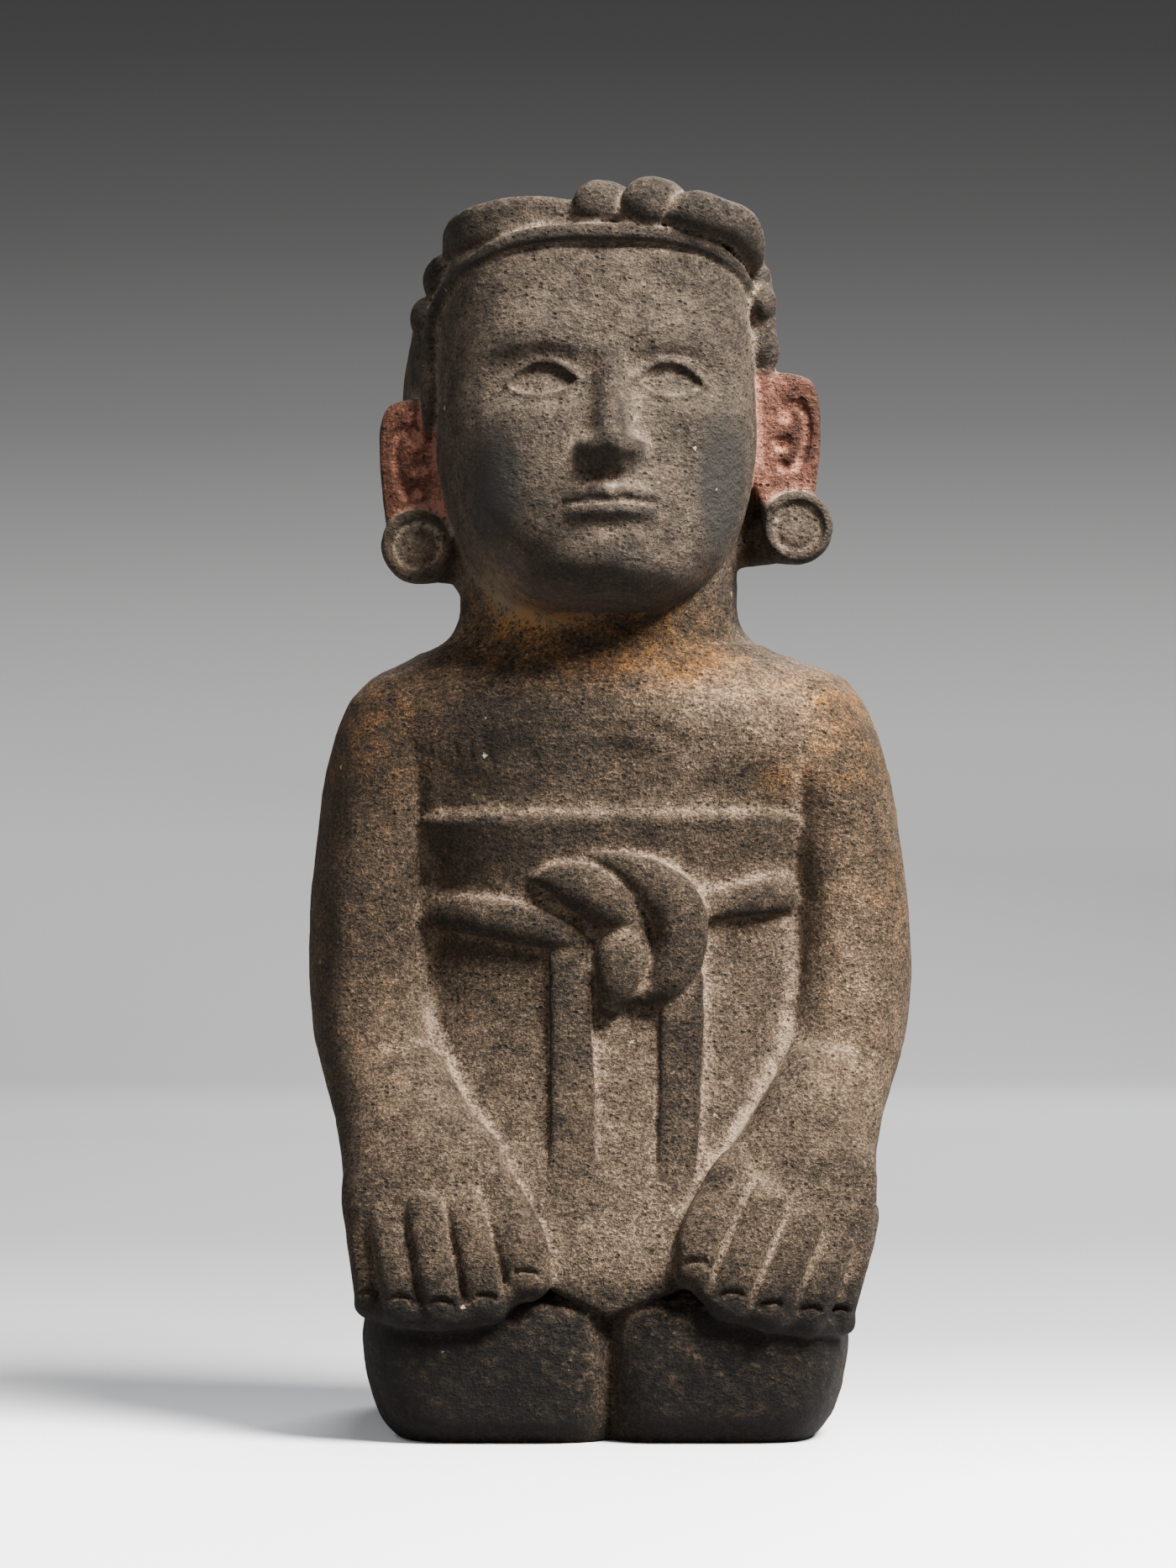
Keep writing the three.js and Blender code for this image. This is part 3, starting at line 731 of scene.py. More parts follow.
# The nose is a ridge that widens and rises to a rounded tip between two wings.
def noseRelief(side, z):
    brow, nose = face["brow"], face["noseBase"]
    down = np.clip((brow + 6 - z) / (brow + 6 - nose), 0, 1.3)
    ridge = (face["noseRoot"] + face["noseTip"] * down**1.15) * ridgeOver(side, 6.0 + 2.4 * down, 2.6)
    ridge *= between(down, 0, 0.15)
    flank = face["noseFlank"] * down * ridgeOver(side, 11 + 3 * down)
    tip = face["noseBall"] * hump(side, z, (0, nose + 8), (8.0, 7.0))
    return (ridge + flank + tip) * between(z, nose - 8, nose + 4.5)


# Two lips that thin out to the corners, an upper one with a bow, and a groove under the nose.
def mouthRelief(side, z, mouth):
    nose, corner = face["noseBase"], face["eyeWidth"] * 0.75
    reach = np.sqrt(np.clip(1 - (side / corner) ** 2, 0, 1))
    bow = 1.2 * ridgeOver(side, 2.4) - ridgeOver(side - 6, 4.5) + 1.2 * (side / corner) ** 2
    upper = face["upperLip"] * reach * ridgeOver(z - mouth - 3.4 + bow, 3.2)
    lower = face["lowerLip"] * reach**1.3 * ridgeOver(z - mouth + 4.4, 4.0)
    parting = between(side, corner * 1.08, corner * 0.8) * ridgeOver(z - mouth + 0.3 * bow, 0.95)
    groove = ridgeOver(side, 2.6) * between(z, mouth + 5, mouth + 9) * between(z, nose, nose - 4)
    return upper + lower - face["parting"] * parting - face["groove"] * groove


# How far the face stands out from the plain form of the head: soft hills and hollows, an arched
# ridge for each brow, the lids, the nose and the lips.
def faceRelief(x, z):
    side = np.abs(x)
    eye, brow, nose, chin = face["eyeWidth"], face["brow"], face["noseBase"], face["chin"]
    lines = {"eyes": brow - eye * 0.52, "nose": nose, "mouth": nose + (chin - nose) / 3, "chin": chin}
    arch = 4.0 * np.sin(np.clip((side - 5) / (eye * 1.8), 0, 1) * pi) - 1.5
    height = z - brow - arch
    relief = face["browRidge"] * ridgeOver(height, np.where(height > 0, 11, 4.5))
    relief *= between(side, 56, 40) * (0.3 + 0.7 * between(side, 4, 20))
    for depth, off, line, over, wide, high, power in face["humps"]:
        relief += depth * hump(side, z, (off, lines[line] + over), (wide, high), power)
    relief += eyeRelief(side, z, lines["eyes"])
    return relief + noseRelief(side, z) + mouthRelief(side, z, lines["mouth"])


def makeHead():
    form = stacked(head["rows"], around=560, step=0.8)
    full, out = head["faceDepth"]
    facing = between(form[..., 1], out, full)
    form[..., 1] -= faceRelief(form[..., 0], form[..., 2]) * facing
    add(onHead(form), 3.0)


print("head and face")
makeHead()

# Hair, close round the head and falling down the back

hair = {
    "cap": [  # height, low x, high x, front, back, squareness
        [-71, -56, 56, -14, 66, 2.6],
        [-50, -69, 69, -24, 78, 2.8],
        [-25, -80, 80, -28, 84, 3.0],
        [15, -81.5, 81.5, -31, 87, 3.2],
        [42, -79, 79, -32, 86, 3.0],
        [64, -71, 71, -38, 76, 2.6],
        [80, -52, 52, -42, 58, 2.2],
    ],
    "headRadius": 85,
    "fall": [  # x, y, height, half width, half depth
        [-6, 66, 446, 60, 24],
        [-5, 62, 380, 57, 20],
        [-3, 72, 320, 55, 15],
        [0, 80, 258, 54, 12],
    ],
    "strands": 1.3,  # depth of the combed grooves
    "strandWidth": 9.0,  # down the back
    "combRadius": 75,  # on a circle of this radius a strand round the head is twice as wide
    "braid": [
        [65, -20, 505, 6, 9],
        [66.5, -21, 490, 6.5, 9],
        [67, -20, 470, 6, 9],
        [66, -18, 455, 5, 8],
    ],
    "knots": [  # x, height, half width, y
        (-80.5, 486, 7.5, -22),
        (-72.5, 503, 10, -16),
        (66.5, 492.5, 7, -26),
        (67, 473, 7.5, -22),
    ],
}


# Combed grooves are cut by the size of a sine round the head, and across the fall of the hair.
def makeHair():
    cap = stacked(hair["cap"], around=300)
    behind = between(cap[..., 1], 10, 40)
    lean = np.arctan2(cap[..., 0], cap[..., 1])
    comb = np.abs(np.sin(lean * hair["combRadius"] / hair["strandWidth"] * pi / 2)) - 1
    cap[1:-1] *= (1 + comb * behind * hair["strands"] / hair["headRadius"])[1:-1, :, None]
    add(onHead(cap), 2.0)
    fall = carried(hair["fall"], facing=(0, 1, 0), around=240, n=3.2)
    comb = np.abs(np.sin(fall[..., 0] / hair["strandWidth"] * pi)) - 1
    fall[..., 1] += comb * hair["strands"] * between(fall[..., 1], 60, 72)
    add(fall, 3.0)
    add(carried(hair["braid"]), 2.0)
    for x, z, size, y in hair["knots"]:
        add(ball([x, y, z], [size, 10, size * 1.25]), 2.0)


print("hair")
makeHair()

# Headband: a thin rim round the face, a thick roll over it and a twist of three lobes in front

headband = {
    "rim": [  # one half, in the head's own frame: x, y, z, half width, half depth
        [72.8, -16, -10, 2.6, 3.5],
        [73.3, -23, 2, 3.6, 5],
        [73.2, -23, 16, 3.7, 5],
        [72.6, -24, 28, 3.8, 5],
        [71.2, -27, 38.5, 3.9, 5],
        [67.5, -35, 47.5, 4.0, 5.4],
        [61.5, -49, 53.5, 4.1, 5.6],
        [54.5, -62, 57.2, 4.0, 5.4],
        [45.6, -70.5, 60.8, 4.2, 5.5],
        [33.6, -77, 63, 4.2, 5.5],
        [21.0, -80, 64.2, 4.2, 5.5],
        [0.0, -82, 64.4, 4.2, 5.5],
    ],
    "roll": [
        [-4, -60, 526, 8.2, 9],
        [-17, -60.5, 526.4, 8.4, 9],
        [-30, -59.5, 527.3, 8.6, 9.5],
        [-46, -54.5, 526, 8.8, 10],
        [-58, -45, 523, 9, 10],
        [-63.5, -30, 520, 9.2, 10],
        [-64.5, -8, 514.5, 9.2, 9.5],
        [-61, 16, 508, 9.5, 9],
        [-49, 38, 502, 9.5, 9],
        [-26, 55, 498, 9.5, 9],
        [-2, 60, 497, 9.5, 9],
        [24, 54, 499, 9.5, 9],
        [43, 38, 502, 9.5, 9],
        [54, 16, 506, 9.5, 9],
        [57.5, -8, 510, 9.5, 9],
        [57, -24, 513, 9, 9],
    ],
    "lobes": [
        [
            [-11, -65, 528, 7.2, 7.5],
            [-8, -66.5, 532, 9.8, 10],
            [-1, -61, 533.5, 9.4, 9.5],
            [6, -48, 532, 6.5, 7],
        ],
        [
            [9, -66, 528.5, 7.5, 7.5],
            [14, -67.5, 532.5, 10.8, 10.5],
            [22, -61, 534.4, 9.6, 9.5],
            [30, -47, 532, 6.5, 7],
        ],
        [
            [27, -66, 529.5, 6.5, 7.5],
            [35, -66, 530, 8.8, 9.5],
            [46, -59, 527.5, 9.0, 10],
            [55.5, -48, 523.5, 9.8, 10.5],
            [58.5, -32, 515.5, 9.6, 10],
            [59, -16, 510, 8, 8],
        ],
    ],
}


def makeHeadband():
    half = np.array(headband["rim"])
    rim = np.concatenate([half * [-1, 1, 1, 1, 1], half[-2::-1]])
    add(carried(headband["roll"], facing=(0, 0, 1), n=3.4), 1.2)
    for lobe in headband["lobes"]:
        add(carried(lobe, n=2.2), 0.8)
    add(onHead(carried(rim, n=2.6)), 1.0)


print("headband")
makeHeadband()

# Ear ornaments: an upright plate with the ear in relief, over a round disc

ears = [
    {
        "inner": -68,
        "outer": -101.5,
        "top": 451,
        "foot": 400,
        "disc": (-84.5, 386),
        "radius": 16,
        "front": -30,
        # painted light: the disc is painted paler by this much, taken off the painted shade there
        "discPaintedLight": 1.5,  # how much of the disc's shade is taken off
    },
    {
        "inner": 62,
        "outer": 92.5,
        "top": 463,
        "foot": 408,
        "disc": (82, 394.5),
        "radius": 16,
        "front": -24,
        # painted light on the disc, as on the other ear
        "discPaintedLight": 0.9,
    },
]

earCarving = {
    # places in from the plate's outer edge and down from its top
    "channel": [(16, 15.5), (10, 15), (6.6, 21), (6.6, 29), (8.5, 37), (11.5, 43)],
    "channelSize": (2.3, 3.0),
    "dimples": [(15.5, 19, 4.2, 4.4), (17.5, 32, 4.4, 3.6), (16.5, 42, 3.0, 3.0)],
    "dimpleDeep": 3.4,
    "plateThick": 30,
    "plateSkirt": 12,  # how far the plate runs on behind its disc
    "face": [  # of the disc: share of its radius, and depth
        (0, 1.2),
        (0.35, 1.3),
        (0.52, 1.7),
        (0.63, 3.4),
        (0.72, 0.7),
        (0.82, 0),
        (0.9, 0.5),
        (0.98, 2.6),
        (1, 6),
        (1, 22),
        (0.875, 26),
        (0, 26),
    ],
    "discProud": 6,
    "web": [  # back to the head: inwards, back, up, half width, half depth
        (2, 12, -5, 10, 10),
        (14, 26, -5.5, 10.5, 14),
        (28, 34, -6.5, 11, 14),
    ],
}


def makeEar(ear):
    inner, outer, top, foot, front = (ear[k] for k in ("inner", "outer", "top", "foot", "front"))
    side = 1 if outer > 0 else -1
    low = foot - earCarving["plateSkirt"]
    plate = [
        (inner, low),
        (outer - side * 6, low),
        (outer - side * 2, foot),
        (outer, foot + (top - foot) * 0.4),
        (outer - side * 0.5, top - 8),
        (outer - side * 8, top),
        (inner, top - 1),
    ]
    add(slab(plate, front, earCarving["plateThick"], edge=2.6), 2.0)

    def onPlate(off, drop):
        return [outer - side * off, front - 0.6, top - drop]

    channel = [[*onPlate(*place), *earCarving["channelSize"]] for place in earCarving["channel"]]
    carve(carried(channel, fine=1.0), 1.6)
    for off, drop, wide, high in earCarving["dimples"]:
        carve(ball(onPlate(off, drop), [wide, earCarving["dimpleDeep"], high]), 1.6)
    x, z = ear["disc"]
    disc = np.array(earCarving["face"]) * [ear["radius"], 1]
    add(lathed(disc, (x, front - earCarving["discProud"], z)), 1.0)
    web = []
    for inwards, back, up, wide, deep in earCarving["web"]:
        web.append([x - side * inwards, front + back, z + up, wide, deep])
    add(carried(web), 3.0)


print("ear ornaments")
for ear in ears:
    makeEar(ear)

# Skinning the block


# Averages the cells over a cube, by running sums along each axis in turn.
def blurred(cells, size):
    width = max(int(round(size / block["cell"])), 1)
    for axis in range(3):
        pad = [(0, 0)] * 3
        pad[axis] = (width + 1, width)
        total = np.cumsum(np.pad(cells, pad, mode="edge"), axis=axis, dtype=np.float32)
        high = [slice(None)] * 3
        low = [slice(None)] * 3
        high[axis] = slice(2 * width + 1, None)
        low[axis] = slice(None, -2 * width - 1)
        cells = (total[tuple(high)] - total[tuple(low)]) / (2 * width + 1)
    return cells


# Reads the cells at points, blending the eight nearest.
def readCells(cells, points):
    place = (points - blockLow) / block["cell"]
    whole = np.clip(np.floor(place).astype(int), 0, counts - 2)
    part = (place - whole).astype(np.float32)
    found = np.zeros(len(points), np.float32)
    for corner in range(8):
        bit = np.array([corner & 1, corner >> 1 & 1, corner >> 2 & 1])
        weight = np.prod(np.where(bit, part, 1 - part), axis=1)
        i, j, k = (whole + bit).T
        found += weight * cells[i, j, k]
    return found


# Soft random values from -1 to 1: a number for each corner of a lattice of the given size, hashed
# from its place, and a smooth blend between the corners.
def softNoise(points, size, seed):
    place = points / size
    whole = np.floor(place).astype(np.int64)
    part = place - whole
    part = part * part * (3 - 2 * part)
    found = np.zeros(len(points))
    for corner in range(8):
        bit = np.array([corner & 1, corner >> 1 & 1, corner >> 2 & 1])
        i, j, k = (whole + bit).T
        mixed = (i * 374761393 + j * 668265263 + k * 2147483647 + seed * 974711) & 0xFFFFFFFF
        mixed = ((mixed ^ (mixed >> 13)) * 1274126177) & 0xFFFFFFFF
        value = ((mixed ^ (mixed >> 16)) & 0xFFFF) / 32767.5 - 1
        found += np.prod(np.where(bit, part, 1 - part), axis=1) * value
    return found


# Turns the block into a mesh, in mm, and thins it to the number of triangles asked for.
def skin():
    # the underside is cut flat
    np.maximum(stone, (block["floor"] - cellPlaces(2)).astype(np.float32), out=stone)
    grid = openvdb.FloatGrid(background=block["reach"] / block["cell"])
    grid.copyFromArray(stone / block["cell"])
    points, quads = grid.convertToQuads(isovalue=0.0)
    print("cells skinned:", len(quads), "faces")
    points = points * block["cell"] + blockLow
    mesh = bpy.data.meshes.new("kneelingFigure")
    mesh.from_pydata(points.tolist(), [], quads.tolist())
    piece = bpy.data.objects.new("kneelingFigureStone", mesh)
    bpy.context.scene.collection.objects.link(piece)
    thinner = piece.modifiers.new("thinner", "DECIMATE")
    thinner.ratio = min(1.0, block["triangles"] / (2 * len(quads)))
    shown = piece.evaluated_get(bpy.context.evaluated_depsgraph_get())
    thin = bpy.data.meshes.new_from_object(shown)
    piece.modifiers.clear()
    piece.data = thin
    return piece


# All the mesh's points or normals as one array
def vectorsOf(items, name):
    found = np.empty(len(items) * 3, np.float32)
    items.foreach_get(name, found)
    return found.reshape(-1, 3).astype(float)


print("skinning")
figure = skin()
points = vectorsOf(figure.data.vertices, "co")
normals = vectorsOf(figure.data.vertex_normals, "vector")
print("vertices:", len(points), "triangles:", len(figure.data.polygons))

# Dust in the hollows, and the uneven dressing of the surface

dust = {
    "narrow": (3.0, 5.5),  # size of the hollows in mm, and how strongly they count
    "wide": (7.0, 4.0),
    "bare": 0.85,  # how much of it the bare places lose
    "bareEyes": (20, 26, 14),  # size of the bare patch round each eye
    "bareJoins": [  # where an arm meets the chest: middle and size
        ((-78, -52, 300), (14, 24, 34)),
        ((78, -52, 318), (14, 24, 34)),
    ],
    "bareHands": (120, 160, 0.55, 0.2),  # heights, and how bare the left and right one are
}

dressing = {
    "waves": [(26.0, 0.55), (9.0, 0.34), (4.2, 0.22)],  # size and depth in mm
    "inwards": 0.2,
    "seed": 3,
    "fade": (0.6, 7),  # heights over the floor where it starts and is full
}


def layField(name, values):
    field = figure.data.attributes.new(name, "FLOAT", "POINT")
    field.data.foreach_set("value", np.asarray(values, np.float32))


# A soft round patch: e to the minus square of the distance over the size.
def near(middle, size):
    return np.exp(-(((points - middle) / size) ** 2).sum(1))


# How deep in a hollow each point lies: how much stone there is in a cube round it, over a half,
# and less in the places kept bare.
def layHollows():
    solid = np.clip(0.5 - stone / block["cell"], 0, 1)
    (small, smallShare), (large, largeShare) = dust["narrow"], dust["wide"]
    hollow = (readCells(blurred(solid, small), points) - 0.5) * smallShare
    hollow += (readCells(blurred(blurred(solid, large), large), points) - 0.5) * largeShare
    eye = face["eyeWidth"]
    bare = sum(near(onHead([[side * eye, -78, 0]])[0], dust["bareEyes"]) for side in (-1, 1))
    bare += sum(near(middle, size) for middle, size in dust["bareJoins"])
    low, high, left, right = dust["bareHands"]
    bare += between(points[:, 2], high, low) * np.where(points[:, 0] < 0, left, right)
    layField("hollow", np.clip(hollow, -1, 1) * (1 - dust["bare"] * bare))


# Each point goes out along its normal by the sum of some soft noises, and none at the very foot.
def dressSurface():
    push = np.zeros(len(points)) - dressing["inwards"]
    for wave, (size, depth) in enumerate(dressing["waves"]):
        push += softNoise(points, size, wave + dressing["seed"]) * depth
    push *= between(points[:, 2], *dressing["fade"])
    placed = (points + normals * push[:, None]) / 1000  # mm to metres
    figure.data.vertices.foreach_set("co", placed.ravel())
    figure.data.shade_smooth()


print("dust and dressing")
layHollows()
dressSurface()

# Stone


class shaderBook:
    # the nodes of one material, added by type with their settings first and their sockets after
    def __init__(self, name):
        self.material = bpy.data.materials.new(name)
        self.material.use_nodes = True
        self.tree = self.material.node_tree
        self.tree.nodes.clear()

    # a node of any type, with a ramp's stops among its settings
    def node(self, kind, settings=None, sockets=None, out=0):
        made = self.tree.nodes.new(kind)
        for key, value in (settings or {}).items():
            if key == "stops":
                while len(made.color_ramp.elements) < len(value):
                    made.color_ramp.elements.new(0.5)
                for stop, (place, colour) in zip(made.color_ramp.elements, value):
                    stop.position, stop.color = place, (*colour, 1)
            else:
                setattr(made, key, value)
        for key, value in (sockets or {}).items():
            if isinstance(value, socketValue):
                self.tree.links.new(value.socket, made.inputs[key])
            else:
                made.inputs[key].default_value = value
        return socketValue(self, made.outputs[out]) if made.outputs else None

    # a number that the mesh carries at each of its points
    def field(self, name):
        return self.node("ShaderNodeAttribute", {"attribute_name": name}, out="Fac")

    # a noise of a size in mm, from about -0.5 to 0.5
    def grain(self, where, size, detail=2.0, rough=0.5):
        sockets = {"Vector": where, "Scale": 1000 / size, "Detail": detail, "Roughness": rough}
        return self.node("ShaderNodeTexNoise", None, sockets) - 0.5

    # distance to the middle of the nearest of many scattered cells
    def pits(self, where, size, out=0):
        return self.node("ShaderNodeTexVoronoi", None, {"Vector": where, "Scale": 1000 / size}, out)

    # 1 in those cells whose own random number is over the share, 0 in the rest
    def picked(self, where, size, share):
        chance = self.pits(where, size, "Color")
        return self.node("ShaderNodeSeparateColor", None, {0: chance}, 0).ramp(share, share + 0.01)

    # two colours mixed or multiplied by a share
    def blend(self, share, first, second, way="MIX"):
        settings = {"data_type": "RGBA", "blend_type": way, "clamp_factor": True}
        mixed = self.node("ShaderNodeMix", settings, {0: share}, 2)
        for key, value in ((6, first), (7, second)):
            if isinstance(value, socketValue):
                self.tree.links.new(value.socket, mixed.socket.node.inputs[key])
            else:
                mixed.socket.node.inputs[key].default_value = (*value, 1)
        return mixed


class socketValue:
    # one output socket, on which sums, differences, products and quotients add Math nodes
    def __init__(self, book, socket):
        self.book, self.socket = book, socket

    def maths(self, kind, first, second=0.0, clamp=False):
        settings = {"operation": kind, "use_clamp": clamp}
        return self.book.node("ShaderNodeMath", settings, {0: first, 1: second})

    def __add__(self, other):
        return self.maths("ADD", self, other)

    __radd__ = __add__

    def __mul__(self, other):
        return self.maths("MULTIPLY", self, other)

    __rmul__ = __mul__

    def __sub__(self, other):
        return self.maths("SUBTRACT", self, other)

    def __rsub__(self, other):
        return self.maths("SUBTRACT", other, self)

    def __truediv__(self, other):
        return self.maths("DIVIDE", self, other)

    def held(self):  # kept from 0 to 1
        return self.maths("ADD", self, 0.0, True)

    def ramp(self, low, high):  # 0 at low, 1 at high, straight between
        return ((self - low) / (high - low)).held()


basalt = {
    "tones": [  # from the darkest pits to the palest dusty grains
        (0.0, (0.0035, 0.0028, 0.0022)),
        (0.3, (0.0195, 0.0152, 0.0114)),
        (0.5, (0.0540, 0.0398, 0.0275)),
        (0.7, (0.1230, 0.0875, 0.0600)),
        (0.88, (0.2480, 0.1800, 0.1270)),
        (1.0, (0.4500, 0.3450, 0.2520)),
    ],
    "rust": (1.55, 1.02, 0.42),  # these four multiply the stone's own colour
    "umber": (1.08, 0.99, 0.87),
    "red": (1.38, 0.78, 0.71),
    "headTint": (0.94, 1.0, 1.09),
    "slate": (0.0235, 0.0218, 0.0190),
    "cream": (0.52, 0.43, 0.31),
    "grain": 0.85,  # sizes in mm
    "grit": 1.6,
    "peck": 1.6,
    "flake": 2.1,
    "pit": 2.7,
    "lump": 4.6,
    "speck": 9.0,
    "mottle": 10.0,
    "cloud": 48.0,
    "pitRare": 0.72,  # the share of cells that have none
    "flakeRare": 0.80,
    "speckRare": 0.965,
    "streak": (0.9, 0.9, 1.15),  # the tool marks are a little wider than high
    "level": 0.445,  # the middle tone, as a place among the tones
    "headFiner": 0.35,
    "lowerDark": 0.42,
    # how strongly the painted light and shade darken or lighten the tone
    "paintedLightAndShadeStrength": 0.22,
    "paintPale": 0.13,
    "crease": 0.14,  # how much darker the deep creases are
    "roughness": 0.85,
    "specular": 0.12,
    "bump": 0.0016,  # in metres
}

# Soft round patches on the skin in mm: strength, middle and size
patches = {
    "rust": [
        (0.5, (24, -58, 338), (34, 30, 20)),
        (0.4, (-40, -55, 352), (26, 30, 22)),
        (0.25, (-60, -50, 300), (40, 40, 22)),
        (0.4, (72, -60, 284), (12, 24, 14)),
        (0.28, (122, -20, 240), (16, 46, 30)),
        (0.22, (95, -30, 318), (26, 40, 20)),
    ],
    "polish": [
        (1.3, (-47, -68, 411), (13, 34, 26)),
        (1.3, (49, -68, 410), (14, 34, 33)),
    ],
    "apron": [(1.0, (0, -95, 104), (34, 30, 44))],
    # Painted light and shade: a patch above 0 paints shade, one below 0 paints light. The left and
    # middle chest, the neck under the chin on the right, a spot over the band's right end and the
    # waistband are painted darker, and the right chest, the left neck and the right arm are painted
    # lighter. The two patches on the belt's hanging ends only make the stone darker there.
    "shade": [
        (0.9, (-70, -60, 322), (46, 60, 34)),
        (0.8, (-30, -70, 300), (44, 40, 26)),
        (0.8, (40, -50, 350), (40, 40, 16)),
        (-0.5, (46, -70, 300), (34, 40, 24)),
        (-2.2, (-44, -50, 364), (30, 34, 20)),
        (-0.6, (60, -60, 320), (30, 40, 16)),
        (0.8, (60, -60, 287), (16, 30, 9)),
        (0.35, (-10, -80, 256), (70, 40, 11)),
        (0.4, (-17, -80, 150), (9, 30, 60)),
        (0.4, (30, -80, 160), (9, 30, 50)),
        (-0.8, (106, -60, 190), (26, 40, 110)),
    ],
}


# The sum of the patches of one kind, each times its strength.
def patched(name):
    return sum(strength * near(middle, size) for strength, middle, size in patches[name])


# 1 on the front of the ear plates, round their discs and off their edges, 0 elsewhere.
def onPlates():
    x, y, z = points.T
    found = np.zeros(len(points))
    for ear in ears:
        inner, outer = sorted([ear["inner"], ear["outer"]])
        inside = between(x, inner - 4, inner + 2) * between(x, outer + 4, outer - 2)
        inside *= between(z, ear["foot"] - 6, ear["foot"]) * between(z, ear["top"] + 4, ear["top"] - 4)
        disc = np.hypot(x - ear["disc"][0], z - ear["disc"][1])
        inside *= between(disc, ear["radius"] - 1, ear["radius"] + 2)
        inside *= between(y, ear["front"] - 6, ear["front"] - 3)
        found = np.maximum(found, inside * between(y, ear["front"] + 16, ear["front"] + 8))
    return found


def layZones():
    x, y, z = points.T
    side = np.abs(x)
    front = between(normals[:, 1], 0.1, -0.4)
    layField("pigment", onPlates() * front)
    # rust runs down the arms and over the shoulders
    rust = 0.2 * between(side, 78, 98) * between(z, 110, 170) * between(z, 350, 320) + 0.06
    rust += 0.24 * between(z, 268, 290) * between(z, 400, 370) * between(y, -76, -62)
    layField("rust", np.clip(rust + patched("rust"), 0, 1))
    layField("polish", np.clip(patched("polish"), 0, 1) * front)
    layField("apron", patched("apron"))
    # the legs are darker, though less so by the cleft between them
    layField("lower", between(z, 76, 50) * between(z, -4, 8) * (0.4 + 0.6 * between(side, 2, 20)))
    # painted light and shade from the patches, with the fingertips a little darker and painted light on
    # each ear disc
    fingers = between(z, 112, 62) * between(side, 30, 44) * between(y, -78, -92)
    shade = patched("shade") + np.where(x < 0, 0.3, 0.1) * fingers
    for ear in ears:
        discX, discZ = ear["disc"]
        shade -= ear["discPaintedLight"] * near((discX, ear["front"], discZ), (18, 20, 18))
    layField("shade", shade)
    layField("smooth", between(z, 352, 368))  # the head is finished finer than the body
    # faces that look up, made paler in the stone: dust, and partly a painted highlight where the light
    # falls from above
    layField("upward", between(normals[:, 2], 0.2, 0.85))


layZones()


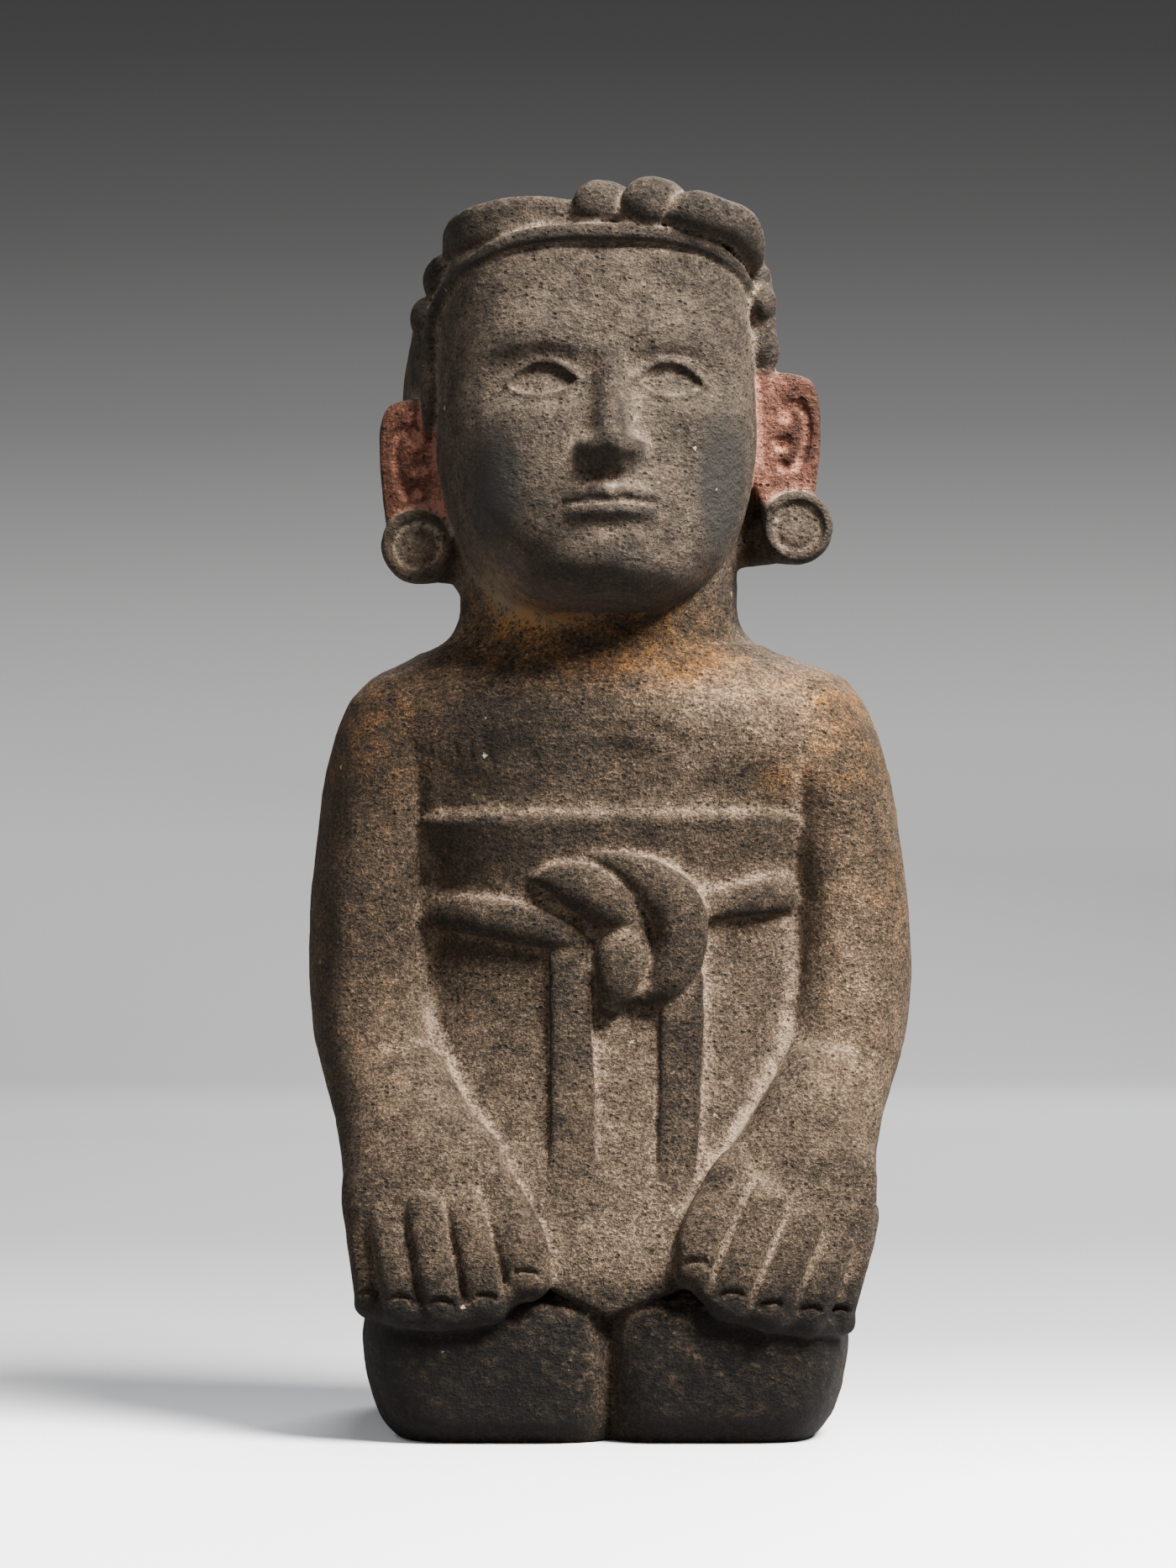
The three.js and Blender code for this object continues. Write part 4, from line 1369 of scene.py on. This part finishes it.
def makeStone():
    book = shaderBook("darkVolcanicStone")
    where = book.node("ShaderNodeTexCoord", out="Object")
    settings = {"operation": "MULTIPLY"}
    streaked = book.node("ShaderNodeVectorMath", settings, {0: where, 1: basalt["streak"]})
    hollow, upward, lower = book.field("hollow"), book.field("upward"), book.field("lower")
    rust, red, polish = book.field("rust"), book.field("pigment"), book.field("polish")
    apron, shade, smooth = book.field("apron"), book.field("shade"), book.field("smooth")
    grain = book.grain(where, basalt["grain"], 3, 0.7)
    peck = book.grain(streaked, basalt["peck"], 4, 0.66)
    lump = book.grain(streaked, basalt["lump"], 2, 0.5)
    mottle = book.grain(where, basalt["mottle"], 3, 0.6)
    cloud = book.grain(where, basalt["cloud"], 2)
    grit = 0.5 - book.pits(where, basalt["grit"])
    rough = 1 - smooth * basalt["headFiner"]

    # pits, flakes and specks are small discs in some of the scattered cells
    pit = (0.36 + peck * 0.3 - book.pits(streaked, basalt["pit"])).ramp(0.0, 0.12)
    pit = pit * (book.picked(streaked, basalt["pit"], basalt["pitRare"]) - polish * 0.6).held()
    flake = (0.34 - book.pits(where, basalt["flake"])).ramp(0.0, 0.1)
    flake = flake * book.picked(where, basalt["flake"], basalt["flakeRare"])
    speck = (0.11 - book.pits(where, basalt["speck"]) + grain * 0.4).ramp(0.0, 0.02)
    speck = speck * book.picked(where, basalt["speck"], basalt["speckRare"])

    # how pale the stone is, as a place among its tones
    # dust in the hollows and on the apron, and faces that look up painted paler: dust, and partly a
    # painted highlight from the light above
    dustAndPaintedHighlight = (hollow * 0.30 - 0.02).held() * (1 - lower) + upward * 0.12 + apron * 0.12
    tone = basalt["level"] - smooth * 0.03 + (grain + peck * 1.1) * rough
    tone = tone + lump * (0.30 + lower) + mottle * 0.45 + cloud * 0.35 - pit * 0.22 + flake * 0.14
    tone = tone + dustAndPaintedHighlight * (mottle * 2 + grain + 1).held() - lower * basalt["lowerDark"]
    # painted light and shade: the patches darken the tone where shade falls and lighten it where light
    # falls
    tone = tone - shade * basalt["paintedLightAndShadeStrength"] + red * basalt["paintPale"]
    tone = tone + (hollow * 0.20).ramp(-0.14, 0.0) * basalt["crease"]
    colour = book.node("ShaderNodeValToRGB", {"stops": basalt["tones"]}, {0: tone})

    # stains and paint over it
    colour = book.blend((rust * 2.2 + mottle).held(), colour, basalt["umber"], "MULTIPLY")
    stain = ((rust * 1.3 + mottle * 2.0 + peck * 1.4 + grain - 0.52) * 1.5).held()
    stain = stain * (rust * 1.6).held() * 0.7
    colour = book.blend(stain, colour, basalt["rust"], "MULTIPLY")
    colour = book.blend(smooth, colour, basalt["headTint"], "MULTIPLY")
    slate = (polish * 2.1 + mottle * 1.6 + peck * 0.8 - 0.65).held() * 0.9
    colour = book.blend(slate, colour, basalt["slate"])
    paint = (red * 1.4 + hollow * 0.2 + mottle * 1.2 - 0.15).held() * red
    colour = book.blend(paint, colour, basalt["red"], "MULTIPLY")
    colour = book.blend(speck, colour, basalt["cream"])

    relief = grit * 0.22 + (grain * (2.0 - polish) + peck * (3.0 + lower)) * rough
    relief = relief + lump * (2.7 + lower) + mottle * 1.4 - pit * 0.9
    bump = book.node("ShaderNodeBump", None, {"Distance": basalt["bump"], "Height": relief})
    sockets = {
        "Base Color": colour,
        "Roughness": (basalt["roughness"] - polish * 0.2).held(),
        "Specular IOR Level": basalt["specular"],
        "Normal": bump,
    }
    shader = book.node("ShaderNodeBsdfPrincipled", None, sockets)
    book.node("ShaderNodeOutputMaterial", None, {"Surface": shader})
    return book.material


print("stone")
figure.data.materials.clear()
figure.data.materials.append(makeStone())
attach(figure, "root")
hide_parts("kneeling_figure")

# Floor and backdrop in one sweep

studio = {
    # the paleness holds painted shade: it stands in for the light falling off behind the figure and up
    # the wall
    "paperPaintedFalloff": [  # depth and height added up, in metres, and how pale the paper is there
        (-6.0, 0.94),
        (-0.25, 0.93),
        (-0.07, 0.8),
        (0.16, 0.52),
        (0.46, 0.36),
        (1.24, 0.28),
        (2.46, 0.31),
        (3.73, 0.47),
        (4.34, 0.58),
        (4.57, 0.55),
        (4.78, 0.435),
        (4.97, 0.305),
        (5.15, 0.204),
        (5.46, 0.11),
        (5.73, 0.061),
        (8.0, 0.03),
    ],
    "paperTint": (0.99, 1.0, 1.035),
    "bend": (3.4, 1.2),  # where the paper starts to rise behind the figure, and its radius
    "near": -6,  # its front edge
    "high": 5,  # its top edge
    "half": 9,  # half its width
    "lights": {  # place, height aimed at, size, power and colour
        "keyLight": ((1.23, -1.07, 2.19), 0.27, 1.3, 480.0, (1, 0.97, 0.93)),
        "fillLight": ((-0.9, -2.5, 0.9), 0.25, 1.6, 22.0, (1, 1, 1)),
        "rimLight": ((-1.2, 0.2, 1.2), 0.35, 0.7, 6.0, (1, 1, 1)),
        "backLight": ((0.7, 2.9, 2.0), 0.25, 1.6, 150.0, (1, 1, 1)),
    },
    "air": 0.08,  # strength of the plain light from all round
    "eye": (-0.0098, -3.0, 0.282),  # the camera looks level along +y
    "lens": 155.8,
    "sensor": 36,
    "clipEnd": 40,
}


# A sheet carried along a profile of depth and height: flat, then a quarter circle, then upright.
def makeSweep():
    start, radius = studio["bend"]
    a = np.linspace(0, pi / 2, 24)
    depth = np.r_[studio["near"], -2, 0, start + radius * np.sin(a), start + radius]
    rise = np.r_[0, 0, 0, radius * (1 - np.cos(a)), studio["high"]]
    across = np.linspace(-studio["half"], studio["half"], 3)
    x, y = np.meshgrid(across, depth)
    z = np.broadcast_to(rise[:, None], x.shape)
    n = len(across)
    i = (np.arange(len(depth) - 1)[:, None] * n + np.arange(n - 1)).ravel()
    places = np.stack([x, y, z], 2).reshape(-1, 3)
    quads = np.stack([i, i + 1, i + n + 1, i + n], 1)
    mesh = bpy.data.meshes.new("sweep")
    mesh.from_pydata(places.tolist(), [], quads.tolist())
    mesh.shade_smooth()
    sheet = bpy.data.objects.new("studioSweep", mesh)
    bpy.context.scene.collection.objects.link(sheet)
    mesh.materials.append(makePaperPaintedFalloff())
    sheet.visible_diffuse = False  # the paper throws no light back up at the figure


# The paper's colour follows depth plus height, with painted light and shade in it: it evens out the
# light on the floor behind the figure, and darkens up the wall as painted shade where the light falls
# off.
def makePaperPaintedFalloff():
    book = shaderBook("palePaperPaintedFalloff")
    where = book.node("ShaderNodeTexCoord", out="Object")
    settings = {"operation": "DOT_PRODUCT"}
    along = book.node("ShaderNodeVectorMath", settings, {0: where, 1: (0, 1, 1)}, "Value")
    low, high = studio["paperPaintedFalloff"][0][0], studio["paperPaintedFalloff"][-1][0]
    stops = []
    for place, pale in studio["paperPaintedFalloff"]:
        colour = tuple(pale * tint for tint in studio["paperTint"])
        stops.append(((place - low) / (high - low), colour))
    # painted shade: the ramp darkens the paper where the light falls off
    colour = book.node("ShaderNodeValToRGB", {"stops": stops}, {0: along.ramp(low, high)})
    sockets = {"Base Color": colour, "Roughness": 0.9, "Specular IOR Level": 0.0}
    shader = book.node("ShaderNodeBsdfPrincipled", None, sockets)
    book.node("ShaderNodeOutputMaterial", None, {"Surface": shader})
    return book.material


# A round area lamp that faces a height over the origin
def softLight(name, place, aimHeight, size, power, colour):
    data = bpy.data.lights.new(name, "AREA")
    data.shape = "DISK"
    data.size = size
    data.energy = power
    data.color = colour
    lamp = bpy.data.objects.new(name, data)
    lamp.location = place
    aim = Vector((0, 0, aimHeight)) - Vector(place)
    lamp.rotation_euler = aim.to_track_quat("-Z", "Y").to_euler()
    bpy.context.scene.collection.objects.link(lamp)


def makeAir():
    world = bpy.data.worlds.new("studioAir")
    world.use_nodes = True
    air = world.node_tree.nodes["Background"]
    air.inputs["Color"].default_value = (1, 1, 1, 1)
    air.inputs["Strength"].default_value = studio["air"]
    bpy.context.scene.world = world


def makeCamera():
    camera = bpy.data.objects.new("camera", bpy.data.cameras.new("camera"))
    camera.data.sensor_width = studio["sensor"]
    camera.data.lens = studio["lens"]
    camera.data.clip_end = studio["clipEnd"]
    camera.location = studio["eye"]
    camera.rotation_euler = (pi / 2, 0, 0)
    bpy.context.scene.collection.objects.link(camera)
    bpy.context.scene.camera = camera


print("studio")
makeSweep()
for name, light in studio["lights"].items():
    softLight(name, *light)
makeAir()
makeCamera()
